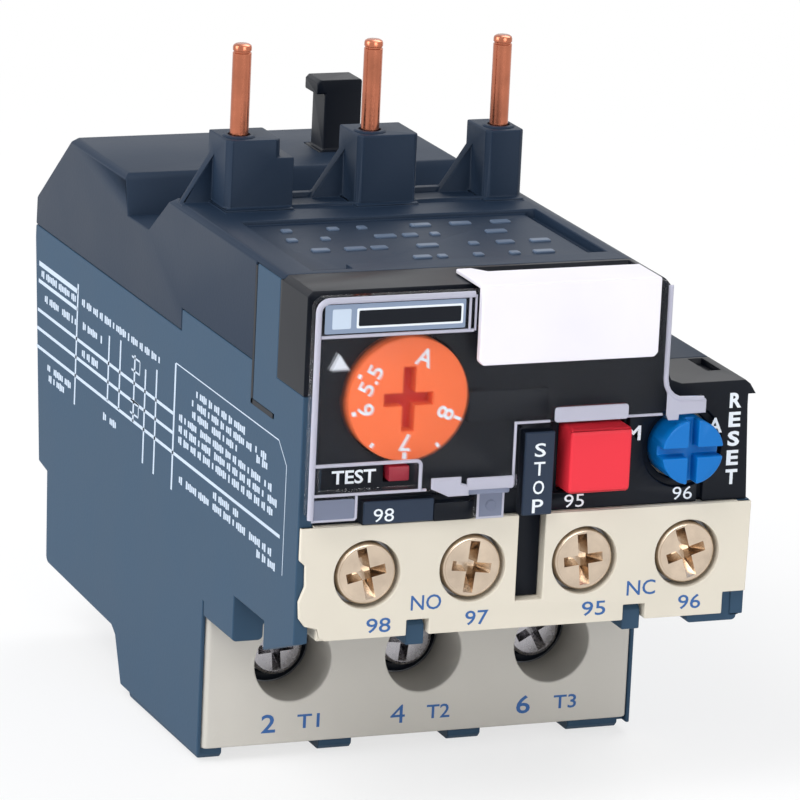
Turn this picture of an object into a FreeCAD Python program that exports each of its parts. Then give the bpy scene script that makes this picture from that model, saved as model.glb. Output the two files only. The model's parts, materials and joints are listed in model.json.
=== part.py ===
"""Thermal overload relay, three poles, with its terminals, controls and trip mechanism.

Millimetres, +Z up, -Y is the front. Every piece is drawn with x counted from the left
side, y from the front plane and z from the underside of the feet, and is moved to the
middle of its own floor area when it is saved.
"""
import FreeCAD, Part
import math
import os
from FreeCAD import Vector

os.makedirs("parts", exist_ok=True)

# ---- named clearances ----
FIT = 0.05                 # pieces seated in one another
LOOSE = 0.3                # pieces that move past one another
REST = 0.3                 # a collar and its stop

# ---- outer sizes ----
WIDTH = 45.0               # side to side
HEAD_WIDTH = 35.9          # tall part of the body
REAR = 77.5                # rear face
WALL = 1.4                 # moulded wall
PARTITION = 1.2            # wall between two poles
CAP_RADIUS = 2.0           # rounded long edge of the head
EDGE = 0.5                 # broken edge of a moulding

# ---- heights, each counted from the one under it ----
BOTTOM = 0.65              # underside of the lower housing
POWER_BOTTOM = 1.3
POWER_TOP = POWER_BOTTOM + 13.8
LEDGE = POWER_TOP + 1.0    # underside of the side walls over the power block
OVERHANG = LEDGE + 2.9     # underside of the front overhang
AUX_BOTTOM = OVERHANG + 0.3
AUX_TOP = AUX_BOTTOM + 10.9
SHELF = AUX_TOP + 11.5     # step beside the head
SEAM = SHELF - 1.4         # joint of the two housings at the rear
SEAM_HIGH = SEAM + 2.1     # the same joint under the head
TOP = SHELF + 10.5         # top face of the head
NOTCH_FLOOR = TOP - 4.5    # floor of the valley across the top
REAR_TOP = TOP - 0.6       # top of the rear block
SHOULDER = REAR_TOP - 8.4  # lower edge of the slope at the rear
SOCKET_TOP = TOP + 6.8
PIN_TOP = SOCKET_TOP + 8.9
HOOK_TOP = REAR_TOP + 7.15
HEEL = 6.0                 # raised underside behind the power block
REAR_KNEE = POWER_TOP + 0.8

# ---- depths of the body ----
FLANGE_BACK = 7.5          # rear edge of the front panel's side flange
STRIP_BACK = 6.9           # rear edge of the front panel's top strip
HEAD_BACK = 13.5           # rear edge of the snap arm
PIN_Y = 33.5
SEAM_STEP = PIN_Y - 0.2    # depth at which the joint steps up
VALLEY_FRONT = PIN_Y + 4.0
VALLEY_FOOT = VALLEY_FRONT + 6.2
VALLEY_BACK = VALLEY_FOOT + 6.0
SLOPE_FRONT = REAR - 10.7  # front edge of the slope at the rear
REAR_FOOT = REAR - 6.5

# ---- power terminals ----
POWER_FRONT = 24.4
OVERHANG_BACK = POWER_FRONT - 8.1
WELL_BACK = POWER_FRONT + 6.6
POWER_TAB_Y = WELL_BACK + 6.3
POWER_BACK = POWER_TAB_Y + 3.2
HEEL_FRONT = POWER_BACK + 6.6
POWER_SKIN = 1.2           # front skin of the block, that covers the side lips
SIDE_LIP = 0.4
POLE_PITCH = (WIDTH - 4.8) / 3
POLE_X = [WIDTH / 2 + 0.3 + POLE_PITCH * k for k in (-1, 0, 1)]
WELL_Z = POWER_BOTTOM + 8.1
WELL_RADIUS = 3.9
POWER_CHAMBER = POLE_PITCH - 4.6   # square room behind the well
POWER_TAB_THICK = 1.2
POWER_HEAD_RADIUS = 2.85
POWER_HEAD = 1.8
POWER_SHANK = 2.0
POWER_TRAVEL = 1.4
CLAMP_THICK = 1.2
BUS_Z = WELL_Z - 1.1       # underside of the bar that runs to the bimetal
BUS_WIDTH = 6.0

# ---- auxiliary terminals ----
AUX_BACK = 13.0
AUX_LIP = 0.45             # front skin that covers the housing edge
AUX_PITCH = (WIDTH - 13.9) / 3
AUX_X = [6.8, 6.8 + AUX_PITCH, WIDTH - 6.3 - AUX_PITCH, WIDTH - 6.3]
AUX_Z = AUX_BOTTOM + 6.1
AUX_HOLE = 3.25
AUX_HEAD_RADIUS = 3.05
AUX_HEAD_FRONT = 0.25
AUX_HEAD = 1.85
AUX_SHANK = 1.6
AUX_TRAVEL = 1.2
AUX_CHAMBER = AUX_PITCH - 2.8      # square room behind each hole
AUX_CHAMBER_FRONT = 2.15
AUX_TAB_Y = AUX_BACK - 5.0
AUX_TAB_THICK = 0.9
AUX_ARM_Z = AUX_Z + 2.2
AUX_ARM_WIDTH = 3.0
DIVIDER_X = (AUX_X[1] + AUX_X[2]) / 2 + 0.15
DIVIDER = 2.67             # width of the slot between the two pairs

# ---- front panel and cover ----
PANEL_FRONT = 0.5
PANEL_BACK = 2.0
RECESS = 0.6               # hollow round a button
COVER_FRONT = -1.5
COVER_BACK = -0.6
PLATE_FRONT = -2.4         # front of the marker plate
PLATE_THICK = 0.85
PLATE_LEFT = 15.8
PLATE_RIGHT = HEAD_WIDTH - 2.4
PLATE_LOW = TOP - 7.0
PLATE_TOP = TOP + 0.5
PLATE_BACK = 4.3
HINGE_Y = 5.3
HINGE_Z = TOP - 0.9
HINGE_PIN = 0.6
HINGE_LEFT = 16.9
HINGE_RIGHT = HEAD_WIDTH - 2.2
POCKET_BACK = 6.3

# ---- controls ----
DIAL_X = 9.9
DIAL_Z = AUX_TOP + 11.7
DIAL_RADIUS = 5.83
DIAL_FRONT = -0.3
DIAL_BACK = 1.7
DIAL_SHAFT = 2.2
DIAL_KEY = 1.4             # half width of the square end that carries the cam
STOP_Z = AUX_TOP + 5.1
STOP_FRONT = -1.5
STEM = 1.25                # half width of the square stem
KNOB_X = WIDTH - 7.2
KNOB_Z = AUX_TOP + 5.5
KNOB_RADIUS = 3.08
KNOB_FRONT = -2.0
STOP_LEFT = DIVIDER_X + 2.775              # clear of the column beside it
STOP_RIGHT = KNOB_X - KNOB_RADIUS - 2.895  # clear of the knob's collar
STOP_SIZE = STOP_RIGHT - STOP_LEFT
STOP_X = (STOP_LEFT + STOP_RIGHT) / 2
KNOB_STEM = 1.8            # round part that carries the knob
KNOB_GUIDE = 1.35          # half width of the square part behind it
TEST_X = DIAL_X - 0.5
TEST_Z = AUX_TOP + 4.65
TEST_STEM = 0.7
COLLAR_BACK = 3.2

# ---- conductor pins ----
PIN_PITCH = (HEAD_WIDTH - 9.36) / 2
PIN_X = [5.1 + PIN_PITCH * k for k in (0, 1, 2)]
PIN_RADIUS = 0.9
PIN_ROOT_RADIUS = 1.1      # stretch held inside the socket
PIN_TIP = 0.25             # broken edge of the tip
SOCKET_FRONT = PIN_Y - 2.1
SOCKET_BACK = PIN_Y + 3.3

# ---- trip mechanism ----
WALL_FRONT = AUX_BACK + 0.1        # cross wall behind the auxiliary block
WALL_BACK = WALL_FRONT + 1.2
CAM_FRONT = WALL_BACK + 0.6
BLADE_Y = WALL_BACK + 4.7
BLADE_WIDTH = 3.0
STRIP_Y0 = REAR - 21.0             # bimetal strip, front edge
STRIP_Y1 = STRIP_Y0 + 5.0
STRIP_THICK = 0.8
STRIP_TOP = AUX_TOP + 6.3
BAR_TRAVEL = 1.6
BAR_THICK = 1.2
BAR_Y0 = STRIP_Y0 - 1.3
BAR_Y1 = STRIP_Y1 + 0.5
LOW_BAR_Z = AUX_TOP + 1.5
HIGH_BAR_Z = LOW_BAR_Z + BAR_THICK + 0.1
LEAD_Z = SEAM - 2.3
LEAD_THICK = 1.0
PIN_FOOT = LEAD_Z + LEAD_THICK + FIT   # the pin stands on its lead
LEAD_WIDTH = 3.6
HEATER_WIRE = 0.8
ROCKER_X = WIDTH / 2 + 0.3
ROCKER_Z = AUX_TOP + 4.4
ROCKER_PIN = 0.8
NC_Z = AUX_TOP + 0.15
NO_Z = AUX_TOP + 1.8
COMP_X = 6.3
COMP_Z = AUX_TOP + 6.0
COMP_PIN = 0.6
CONTACT = 1.2              # half width of a contact

SHIFT = Vector(-WIDTH / 2, -(PLATE_FRONT + REAR) / 2, 0)
X_AXIS = Vector(1, 0, 0)
Y_AXIS = Vector(0, 1, 0)
Z_AXIS = Vector(0, 0, 1)


# ---- small helpers ----
def block(x0, x1, y0, y1, z0, z1):
    """Rectangular block between two corners."""
    return Part.makeBox(x1 - x0, y1 - y0, z1 - z0, Vector(x0, y0, z0))


def prism(corners, step):
    """Flat polygon pushed along a direction."""
    wire = Part.makePolygon(corners + [corners[0]])
    return Part.Face(wire).extrude(step)


def side_prism(points, x0, x1):
    """Outline in y and z, pushed from x0 to x1."""
    return prism([Vector(x0, y, z) for y, z in points], Vector(x1 - x0, 0, 0))


def front_prism(points, y0, y1):
    """Outline in x and z, pushed from y0 to y1."""
    return prism([Vector(x, y0, z) for x, z in points], Vector(0, y1 - y0, 0))


def plan_prism(points, z0, z1):
    """Outline in x and y, pushed from z0 to z1."""
    return prism([Vector(x, y, z0) for x, y in points], Vector(0, 0, z1 - z0))


def rod_x(y, z, radius, x0, x1):
    """Round bar along x."""
    return Part.makeCylinder(radius, x1 - x0, Vector(x0, y, z), X_AXIS)


def rod_y(x, z, radius, y0, y1):
    """Round bar along y."""
    return Part.makeCylinder(radius, y1 - y0, Vector(x, y0, z), Y_AXIS)


def rod_z(x, y, radius, z0, z1):
    """Round bar along z."""
    return Part.makeCylinder(radius, z1 - z0, Vector(x, y, z0), Z_AXIS)


def square_y(x, z, half, y0, y1):
    """Square bar along y round a centre line."""
    return block(x - half, x + half, y0, y1, z - half, z + half)


def edges_along(shape, direction, keep):
    """Straight edges that run along a direction and whose middle passes a test."""
    found = []
    for edge in shape.Edges:
        if len(edge.Vertexes) != 2:
            continue
        run = edge.Vertexes[1].Point - edge.Vertexes[0].Point
        if run.Length < 0.01 or abs(run.dot(direction)) < 0.999 * run.Length:
            continue
        if keep((edge.Vertexes[0].Point + edge.Vertexes[1].Point) * 0.5):
            found.append(edge)
    return found


def rounded(shape, radius, direction, keep=lambda p: True):
    """Fillet on the chosen straight edges."""
    return shape.makeFillet(radius, edges_along(shape, direction, keep))


def bevelled(shape, size, direction, keep=lambda p: True):
    """Chamfer on the chosen straight edges."""
    return shape.makeChamfer(size, edges_along(shape, direction, keep))


def joined(*pieces):
    """One solid from touching or overlapping pieces."""
    return pieces[0].fuse(list(pieces[1:])).removeSplitter()


def swept_wire(path, wire):
    """Square wire carried along a path of straight runs whose first run is level along x."""
    half = wire / 2
    first = path[0]
    square = [
        first + Vector(0, -half, -half), first + Vector(0, half, -half),
        first + Vector(0, half, half), first + Vector(0, -half, half),
    ]
    section = Part.makePolygon(square + [square[0]])
    return Part.makePolygon(path).makePipeShell([section], True, False, 1)


def coil_y(x, z, radius, wire, y0, y1):
    """Coil spring along y, four turns of eight straight runs, between two seats."""
    turns = 4
    runs = 8
    rise = (y1 - y0 - wire - 0.2) / (turns * runs)
    path = []
    for step in range(turns * runs + 1):
        angle = 2 * math.pi * (step + 0.5) / runs + math.pi / 2
        along = y0 + wire / 2 + 0.1 + rise * step
        path.append(Vector(x - radius * math.cos(angle), along, z + radius * math.sin(angle)))
    return swept_wire(path, wire)


# ---- lower housing ----
def power_seat():
    """Room in the lower housing for the power block behind its thin side lips."""
    front = POWER_FRONT - 1
    skin = block(SIDE_LIP, WIDTH - SIDE_LIP, front, POWER_FRONT + POWER_SKIN + FIT, -1, LEDGE)
    core = block(WALL, WIDTH - WALL, front, POWER_BACK + FIT, -1, POWER_TOP + FIT)
    return skin.fuse(core)


def foot_rails():
    """Rails under the power block that carry it and serve as feet."""
    rails = []
    spans = [(0.5, 2.8), (WIDTH - 6.3, WIDTH - 1.0)]
    spans += [(x + POLE_PITCH / 2 - 3.4, x + POLE_PITCH / 2) for x in POLE_X[:-1]]
    for x0, x1 in spans:
        rail = block(x0, x1, POWER_FRONT + 0.9, POWER_BACK + 5.5, 0, POWER_BOTTOM - FIT)
        rails.append(bevelled(rail, EDGE, X_AXIS, lambda p: p.z < 0.1))
    return rails


def shaft_holes():
    """Holes of the cross wall, one for each shaft and stem."""
    y0 = WALL_FRONT - 1
    y1 = WALL_BACK + 1
    holes = [
        square_y(DIAL_X, DIAL_Z, DIAL_SHAFT + LOOSE, y0, y1),
        square_y(TEST_X, TEST_Z, TEST_STEM + FIT, y0, y1),
        square_y(STOP_X, STOP_Z, STEM + FIT, y0, y1),
        square_y(KNOB_X, KNOB_Z, KNOB_GUIDE + FIT, y0, y1),
        rod_y(COMP_X, COMP_Z, COMP_PIN + FIT, y0, y1),
    ]
    half = AUX_ARM_WIDTH / 2 + FIT
    for x in AUX_X:
        holes.append(block(x - half, x + half, y0, y1, AUX_ARM_Z - FIT, AUX_ARM_Z + AUX_TAB_THICK + FIT))
    return holes


def cross_wall():
    """Wall behind the auxiliary block that guides every plunger and shaft."""
    wall = block(WALL - 0.5, WIDTH - WALL + 0.5, WALL_FRONT, WALL_BACK, OVERHANG - 0.8, SEAM - FIT)
    raised = block(DIAL_X - 5.9, DIAL_X + 6.1, WALL_FRONT, WALL_BACK, SEAM - 1, DIAL_Z + 4.6)
    wall = wall.fuse(raised)
    for hole in shaft_holes():
        wall = wall.cut(hole)
    return wall


def block_catches():
    """Two arms under the auxiliary block, each with a nose that stands in a notch."""
    catches = []
    for x in aux_notches():
        arm = block(x - 0.9, x + 0.9, 0.6, WALL_BACK, OVERHANG - 0.8, AUX_BOTTOM - FIT)
        nose = block(x - 0.9, x + 0.9, 0.6, 1.5, OVERHANG - 0.8, AUX_BOTTOM + 1.2)
        catches.append(arm)
        catches.append(bevelled(nose, 0.4, X_AXIS, lambda p: p.z > AUX_BOTTOM and p.y < 1))
    return catches


def aux_notches():
    """Middles of the two catch notches, between the screws of each pair."""
    return [(AUX_X[0] + AUX_X[1]) / 2, (AUX_X[2] + AUX_X[3]) / 2 + 0.1]


def side_lugs():
    """Lugs over the power block's upper corners, and a sloping fin under the left side wall."""
    lugs = []
    for x0 in (0, WIDTH - 3.1):
        lug = block(x0, x0 + 3.1, OVERHANG_BACK, POWER_FRONT - FIT, POWER_TOP - 0.6, LEDGE + 2)
        lugs.append(rounded(lug, 0.5, Y_AXIS, lambda p: p.z < POWER_TOP))
    fin = [(PANEL_FRONT, OVERHANG + 1), (PANEL_FRONT, OVERHANG), (8.2, LEDGE + 0.1), (8.2, OVERHANG + 1)]
    lugs.append(side_prism(fin, 0, 1.1))
    return lugs


def right_toe():
    """Rounded toe under the right-hand end of the auxiliary block."""
    toe = block(WIDTH - 5.7, WIDTH - 0.6, 0.6, 3.3, OVERHANG - 0.6, AUX_BOTTOM - FIT)
    toe = rounded(toe, 0.45, Y_AXIS, lambda p: p.z < OVERHANG)
    heel = block(WIDTH - 2.35, WIDTH - 0.6, 0.6, 2.95, OVERHANG, AUX_BOTTOM + 2.05)
    return toe.fuse(heel)


def lower_housing():
    """Stepped tub with side walls, pole partitions, guides and feet."""
    tub_front = POWER_FRONT + 0.2
    outline = [
        (PANEL_FRONT, OVERHANG), (OVERHANG_BACK, OVERHANG), (OVERHANG_BACK, LEDGE),
        (tub_front, LEDGE), (tub_front, BOTTOM), (HEEL_FRONT, BOTTOM + 0.2),
        (HEEL_FRONT + 2.1, HEEL - 0.7), (HEEL_FRONT + 3.3, HEEL), (REAR_FOOT, HEEL + 0.6),
        (REAR_FOOT + 0.6, REAR_KNEE), (REAR_FOOT + 3.3, REAR_KNEE + 0.4), (REAR, SEAM - 1.3),
        (REAR, SEAM), (SEAM_STEP, SEAM), (SEAM_STEP, SEAM_HIGH), (PANEL_FRONT, SEAM_HIGH),
    ]
    tub = side_prism(outline, 0, WIDTH)
    tub = rounded(tub, 0.8, X_AXIS, lambda p: HEEL_FRONT + 3 < p.y < REAR_FOOT + 0.3 and p.z < HEEL + 1)
    inside = tub_front + WALL
    hollow = [
        (-1, OVERHANG + WALL), (OVERHANG_BACK, OVERHANG + WALL), (OVERHANG_BACK, LEDGE + WALL),
        (inside, LEDGE + WALL), (inside, BOTTOM + WALL), (HEEL_FRONT - 0.9, BOTTOM + WALL + 0.2),
        (HEEL_FRONT + 1.1, HEEL), (HEEL_FRONT + 2.5, HEEL + WALL), (REAR_FOOT - WALL, HEEL + WALL + 0.6),
        (REAR_FOOT - 0.8, REAR_KNEE + WALL), (REAR_FOOT + 2.0, REAR_KNEE + WALL + 0.3),
        (REAR - WALL, SEAM - 1.3), (REAR - WALL, TOP), (-1, TOP),
    ]
    tub = tub.cut(side_prism(hollow, WALL, WIDTH - WALL))
    tub = tub.cut(power_seat())
    tub = tub.cut(block(WALL, WIDTH - WALL, -1, AUX_BACK + FIT, OVERHANG - 1, AUX_TOP + FIT))
    # the right-hand wall is lower, and sits behind the front panel
    tub = tub.cut(block(5, WIDTH + 1, -1, SEAM_STEP + 1, SEAM, TOP))
    tub = tub.cut(block(WIDTH - 2, WIDTH + 1, -1, PANEL_BACK + FIT, AUX_TOP, TOP))
    pieces = [tub, cross_wall(), right_toe()]
    pieces += foot_rails()
    pieces += side_lugs()
    pieces += block_catches()
    pieces.append(block(0, WALL, FLANGE_BACK, HEAD_BACK, SEAM - 1.5, TOP - EDGE))
    divide = [
        (POWER_BACK + 1.0, BOTTOM + 1.0), (HEEL_FRONT - 0.9, BOTTOM + 1.0), (HEEL_FRONT + 2.4, HEEL + 1.0),
        (REAR_FOOT - 1.0, HEEL + 1.0), (REAR_FOOT - 1.0, LOW_BAR_Z - 0.1), (POWER_BACK + 1.0, LOW_BAR_Z - 0.1),
    ]
    for left, right in zip(POLE_X[:-1], POLE_X[1:]):
        x0 = (left + right) / 2 - PARTITION / 2
        x1 = x0 + PARTITION
        pieces.append(side_prism(divide, x0, x1))
        for y0 in (BAR_Y0 - 1.0, BAR_Y1 + 0.2):
            pieces.append(block(x0, x1, y0, y0 + 0.8, LOW_BAR_Z - 2.7, HIGH_BAR_Z + 2))
    pieces.append(rod_y(ROCKER_X, ROCKER_Z, ROCKER_PIN, WALL_BACK - 0.5, BLADE_Y + 4))
    shell = joined(*pieces)
    # slot that frees the snap arm from the wall behind and below it
    gap = 0.4
    low = SEAM - 1.9
    shell = shell.cut(block(-1, WALL + FIT, FLANGE_BACK + gap, HEAD_BACK + gap, low, low + gap))
    shell = shell.cut(block(-1, WALL + FIT, HEAD_BACK, HEAD_BACK + gap, low, TOP))
    return shell


# ---- upper housing ----
def head_cap(y0, y1):
    """Envelope of the head: plain left side, rounded long edge on the right."""
    cap = block(0, HEAD_WIDTH, y0, y1, POWER_TOP, TOP)
    cap = rounded(cap, CAP_RADIUS, Y_AXIS, lambda p: p.x > HEAD_WIDTH - 0.1 and p.z > TOP - 0.1)
    return bevelled(cap, EDGE, Y_AXIS, lambda p: p.x < 0.1 and p.z > TOP - 0.1)


def shelf_strip(y0, y1):
    """Low step beside the head, with a bevelled outer edge."""
    outline = [
        (HEAD_WIDTH - WALL, SEAM + FIT), (WIDTH, SEAM + FIT), (WIDTH - 0.6, SHELF - 0.4),
        (WIDTH - 1.1, SHELF), (HEAD_WIDTH - WALL, SHELF),
    ]
    return front_prism(outline, y0, y1)


def socket(x, left, right, low_right):
    """Stem that holds a conductor pin, with a gusset on its left and a foot flange."""
    stem = block(x - left, x + right, SOCKET_FRONT, SOCKET_BACK, TOP - 1, SOCKET_TOP)
    stem = bevelled(stem, EDGE, Z_AXIS, lambda p: p.y < SOCKET_FRONT + 0.1)
    pieces = [stem]
    if low_right > right:
        pieces.append(block(x + right - 1, x + low_right, SOCKET_FRONT, SOCKET_BACK, TOP - 1, SOCKET_TOP - 1.8))
    pieces.append(block(x - left - 0.2, x + low_right, SOCKET_FRONT - 0.7, SOCKET_BACK, TOP - 1, TOP + 0.25))
    tip = max(0.3, x - left - 3.2)
    gusset = [(tip, TOP - 1), (tip, TOP), (x - left, SOCKET_TOP - 2.0), (x - left + 1, TOP - 1)]
    pieces.append(front_prism(gusset, SOCKET_BACK - 1.6, SOCKET_BACK - 0.4))
    return joined(*pieces)


SOCKET_REACH = [(1.85, 3.6, 4.9), (1.85, 4.3, 4.3), (1.95, 1.9, 1.9)]


def upper_outline():
    """Side outline of the upper housing from the front strip round to the joint."""
    front = STRIP_BACK + FIT
    return [
        (front, SEAM_HIGH + FIT), (front, TOP), (VALLEY_FRONT, TOP), (VALLEY_FOOT, NOTCH_FLOOR),
        (VALLEY_BACK, NOTCH_FLOOR), (VALLEY_BACK + 0.9, REAR_TOP - 0.7), (VALLEY_BACK + 1.6, REAR_TOP),
        (SLOPE_FRONT, REAR_TOP), (REAR - 0.1, SHOULDER), (REAR, SEAM + FIT),
        (SEAM_STEP + FIT, SEAM + FIT), (SEAM_STEP + FIT, SEAM_HIGH + FIT),
    ]


def upper_housing():
    """Shell with the valley, the rear block, the pin sockets and the side shelf."""
    shell = side_prism(upper_outline(), 0, HEAD_WIDTH).common(head_cap(0, REAR))
    shell = bevelled(shell, EDGE, Y_AXIS, lambda p: p.y > VALLEY_BACK and abs(p.z - REAR_TOP) < 0.1)
    roof = 1.7
    hollow = [
        (0, LEDGE), (0, TOP - roof), (VALLEY_FRONT - 0.7, TOP - roof), (VALLEY_FOOT - 0.6, NOTCH_FLOOR - roof),
        (VALLEY_BACK + 0.6, NOTCH_FLOOR - roof), (VALLEY_BACK + 1.7, REAR_TOP - roof),
        (SLOPE_FRONT - 0.7, REAR_TOP - roof), (REAR - WALL - 0.1, SHOULDER - 0.6), (REAR - WALL, LEDGE),
    ]
    shell = shell.cut(side_prism(hollow, WALL, HEAD_WIDTH - WALL))
    shell = shell.cut(block(-1, WALL + FIT, 0, HEAD_BACK + 0.4, POWER_TOP, TOP - EDGE + FIT))
    # recessed panel with a groove on its right and a slot at its left front corner
    right = HEAD_WIDTH - 2.7
    shell = shell.cut(block(3.3, right, 9.9, SOCKET_FRONT - 4.1, TOP - 0.5, TOP + 1))
    shell = shell.cut(block(right - 1, right, 9.9, SOCKET_FRONT - 4.1, TOP - 1.0, TOP + 1))
    shell = shell.cut(block(3.3, 7.2, 8.0, 9.9, TOP - 1.0, TOP + 1))
    pieces = [shell, shelf_strip(FLANGE_BACK + 1.8, REAR)]
    # two low ridges behind the sockets
    pieces.append(block(PIN_X[0] + 3, PIN_X[2], SOCKET_BACK - 0.9, SOCKET_BACK - 0.1, TOP - 1, TOP + 0.45))
    pieces.append(block(PIN_X[0] + 3, PIN_X[2], SOCKET_FRONT + 0.3, SOCKET_FRONT + 0.9, TOP - 1, TOP + 0.3))
    for x, (left, right_side, low_right) in zip(PIN_X, SOCKET_REACH):
        pieces.append(socket(x, left, right_side, low_right))
    whole = joined(*pieces)
    for x in PIN_X:
        whole = whole.cut(rod_z(x, PIN_Y, PIN_ROOT_RADIUS + FIT, TOP - 5, SOCKET_TOP + 1))
    foot = hook_foot(FIT)
    return whole.cut(foot)


# ---- front panel ----
def knob_hollow():
    """Round hollow and hole for the RESET knob."""
    hole = rod_y(KNOB_X, KNOB_Z, KNOB_RADIUS + 0.2, COVER_FRONT, COLLAR_BACK)
    hollow = rod_y(KNOB_X, KNOB_Z, KNOB_RADIUS + 0.9, COVER_FRONT, PANEL_FRONT + RECESS)
    return hole.fuse(hollow)


def stop_hollow():
    """Square hollow and hole for the STOP button."""
    half = STOP_SIZE / 2 + 0.2
    hole = square_y(STOP_X, STOP_Z, half, COVER_FRONT, COLLAR_BACK)
    right = STOP_X + half + 0.3
    floor = PANEL_FRONT + RECESS
    hollow = block(DIVIDER_X + 1.6, right, COVER_FRONT, floor, STOP_Z - half - 0.1, STOP_Z + half + 0.2)
    return hole.fuse(hollow)


def hinge_bed():
    """Pocket of the cover's hinge, open to the front and to the top."""
    pocket = block(HINGE_LEFT - 0.2, HINGE_RIGHT + 0.2, COVER_FRONT, POCKET_BACK, HINGE_Z - 1.05, TOP + 1)
    half = HINGE_PIN + FIT
    y0 = HINGE_Y - half
    y1 = HINGE_Y + half
    return pocket.fuse(block(HINGE_LEFT - 0.9, HINGE_RIGHT + 0.9, y0, y1, HINGE_Z - half, HINGE_Z + half))


def raised_marks():
    """Raised column, bars, boss and plateau of the fascia, and the dial's bearing plate."""
    low = AUX_TOP + FIT
    boss = block(DIAL_X + 2.9, DIAL_X + 7.3, -0.6, PANEL_BACK, low, AUX_TOP + 1.8)
    corner = DIAL_X + 7.2
    return [
        block(DIVIDER_X - 1.47, DIVIDER_X + 1.5, -0.55, PANEL_BACK, low, STOP_Z + 2.9),
        block(DIVIDER_X - 1.25, DIVIDER_X + 1.25, 1.2, 2.6, AUX_BOTTOM + 2.75, AUX_TOP + 1),
        block(DIAL_X - 4.06, DIAL_X + 3.0, -0.4, PANEL_BACK, low, AUX_TOP + 2.3),
        block(DIAL_X + 6.0, DIVIDER_X + 0.9, 0.1, PANEL_BACK, STOP_Z + 4.0, DIAL_Z + 0.25),
        rounded(boss, 1.2, Z_AXIS, lambda p: p.x > corner and p.y < 0),
        square_y(DIAL_X, DIAL_Z, DIAL_RADIUS + 0.8, PANEL_BACK - 0.3, PANEL_BACK + 1.2),
    ]


def front_panel():
    """Dark front plate with its top strip, side flange, raised columns and recesses."""
    outline = [
        (WALL + FIT, AUX_TOP + FIT), (WIDTH - 0.35, AUX_TOP + FIT), (WIDTH - 0.8, SEAM),
        (WIDTH - 1.2, SHELF), (HEAD_WIDTH, SHELF), (HEAD_WIDTH, TOP), (0, TOP),
        (0, SEAM_HIGH + FIT), (WALL + FIT, SEAM_HIGH + FIT),
    ]
    plate = front_prism(outline, PANEL_FRONT, PANEL_BACK)
    strip = block(0, HEAD_WIDTH, PANEL_FRONT, STRIP_BACK, TOP - 1.5, TOP)
    bed = block(PLATE_LEFT - 0.6, HEAD_WIDTH - 0.6, PANEL_FRONT, STRIP_BACK, TOP - 2.6, TOP)
    flange = block(0, WALL, PANEL_FRONT, FLANGE_BACK - FIT, SEAM_HIGH + FIT, TOP - EDGE)
    right = block(HEAD_WIDTH - WALL, HEAD_WIDTH, PANEL_FRONT, STRIP_BACK, SHELF, TOP)
    inner = HEAD_WIDTH - 0.1
    corner = [(inner, SHELF), (inner + 1.6, SHELF), (inner + 0.5, SHELF + 0.4), (inner, SHELF + 1.5)]
    fillet = front_prism(corner, PANEL_FRONT, STRIP_BACK)
    tall = plate.common(block(-1, WIDTH, PANEL_FRONT, PANEL_BACK, SHELF, TOP))
    head = joined(tall, strip, bed, flange, right)
    head = head.common(head_cap(PANEL_FRONT, FLANGE_BACK))
    low = plate.common(block(-1, WIDTH, PANEL_FRONT, PANEL_BACK, 0, SHELF))
    panel = joined(head, low, fillet, shelf_strip(PANEL_FRONT, FLANGE_BACK + 1.75), *raised_marks())
    panel = panel.cut(block(WIDTH - 3.4, WIDTH - 1.9, 4.4, 8.8, SHELF - 0.6, SHELF + 1))
    # slit from the knob's hollow down to the terminals
    slit_floor = PANEL_FRONT + RECESS
    panel = panel.cut(block(KNOB_X + 1.7, KNOB_X + 2.3, -1, slit_floor, AUX_TOP - 1, KNOB_Z - KNOB_RADIUS))
    # the lower half of the dial's field lies a little deeper
    field = block(WALL + 0.3, DIVIDER_X - 1.5, -1, PANEL_FRONT + 0.25, AUX_TOP + 2.4, DIAL_Z + 0.25)
    panel = panel.cut(field.cut(block(DIAL_X + 6.0, WIDTH, -2, PANEL_BACK, STOP_Z + 3.9, TOP)))
    panel = panel.cut(block(TEST_X - 1.9, TEST_X + 1.9, PANEL_BACK, 10, TEST_Z - 1.9, TEST_Z + 1.6))
    panel = panel.cut(rod_y(DIAL_X, DIAL_Z, DIAL_RADIUS + 0.15, -5, PANEL_BACK))
    panel = panel.cut(rod_y(DIAL_X, DIAL_Z, DIAL_SHAFT + FIT, -5, 10))
    panel = panel.cut(block(TEST_X - 1.2, TEST_X + 1.2, -5, 10, TEST_Z - 0.9, TEST_Z + 0.9))
    return panel.cut(stop_hollow()).cut(knob_hollow()).cut(hinge_bed())


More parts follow.
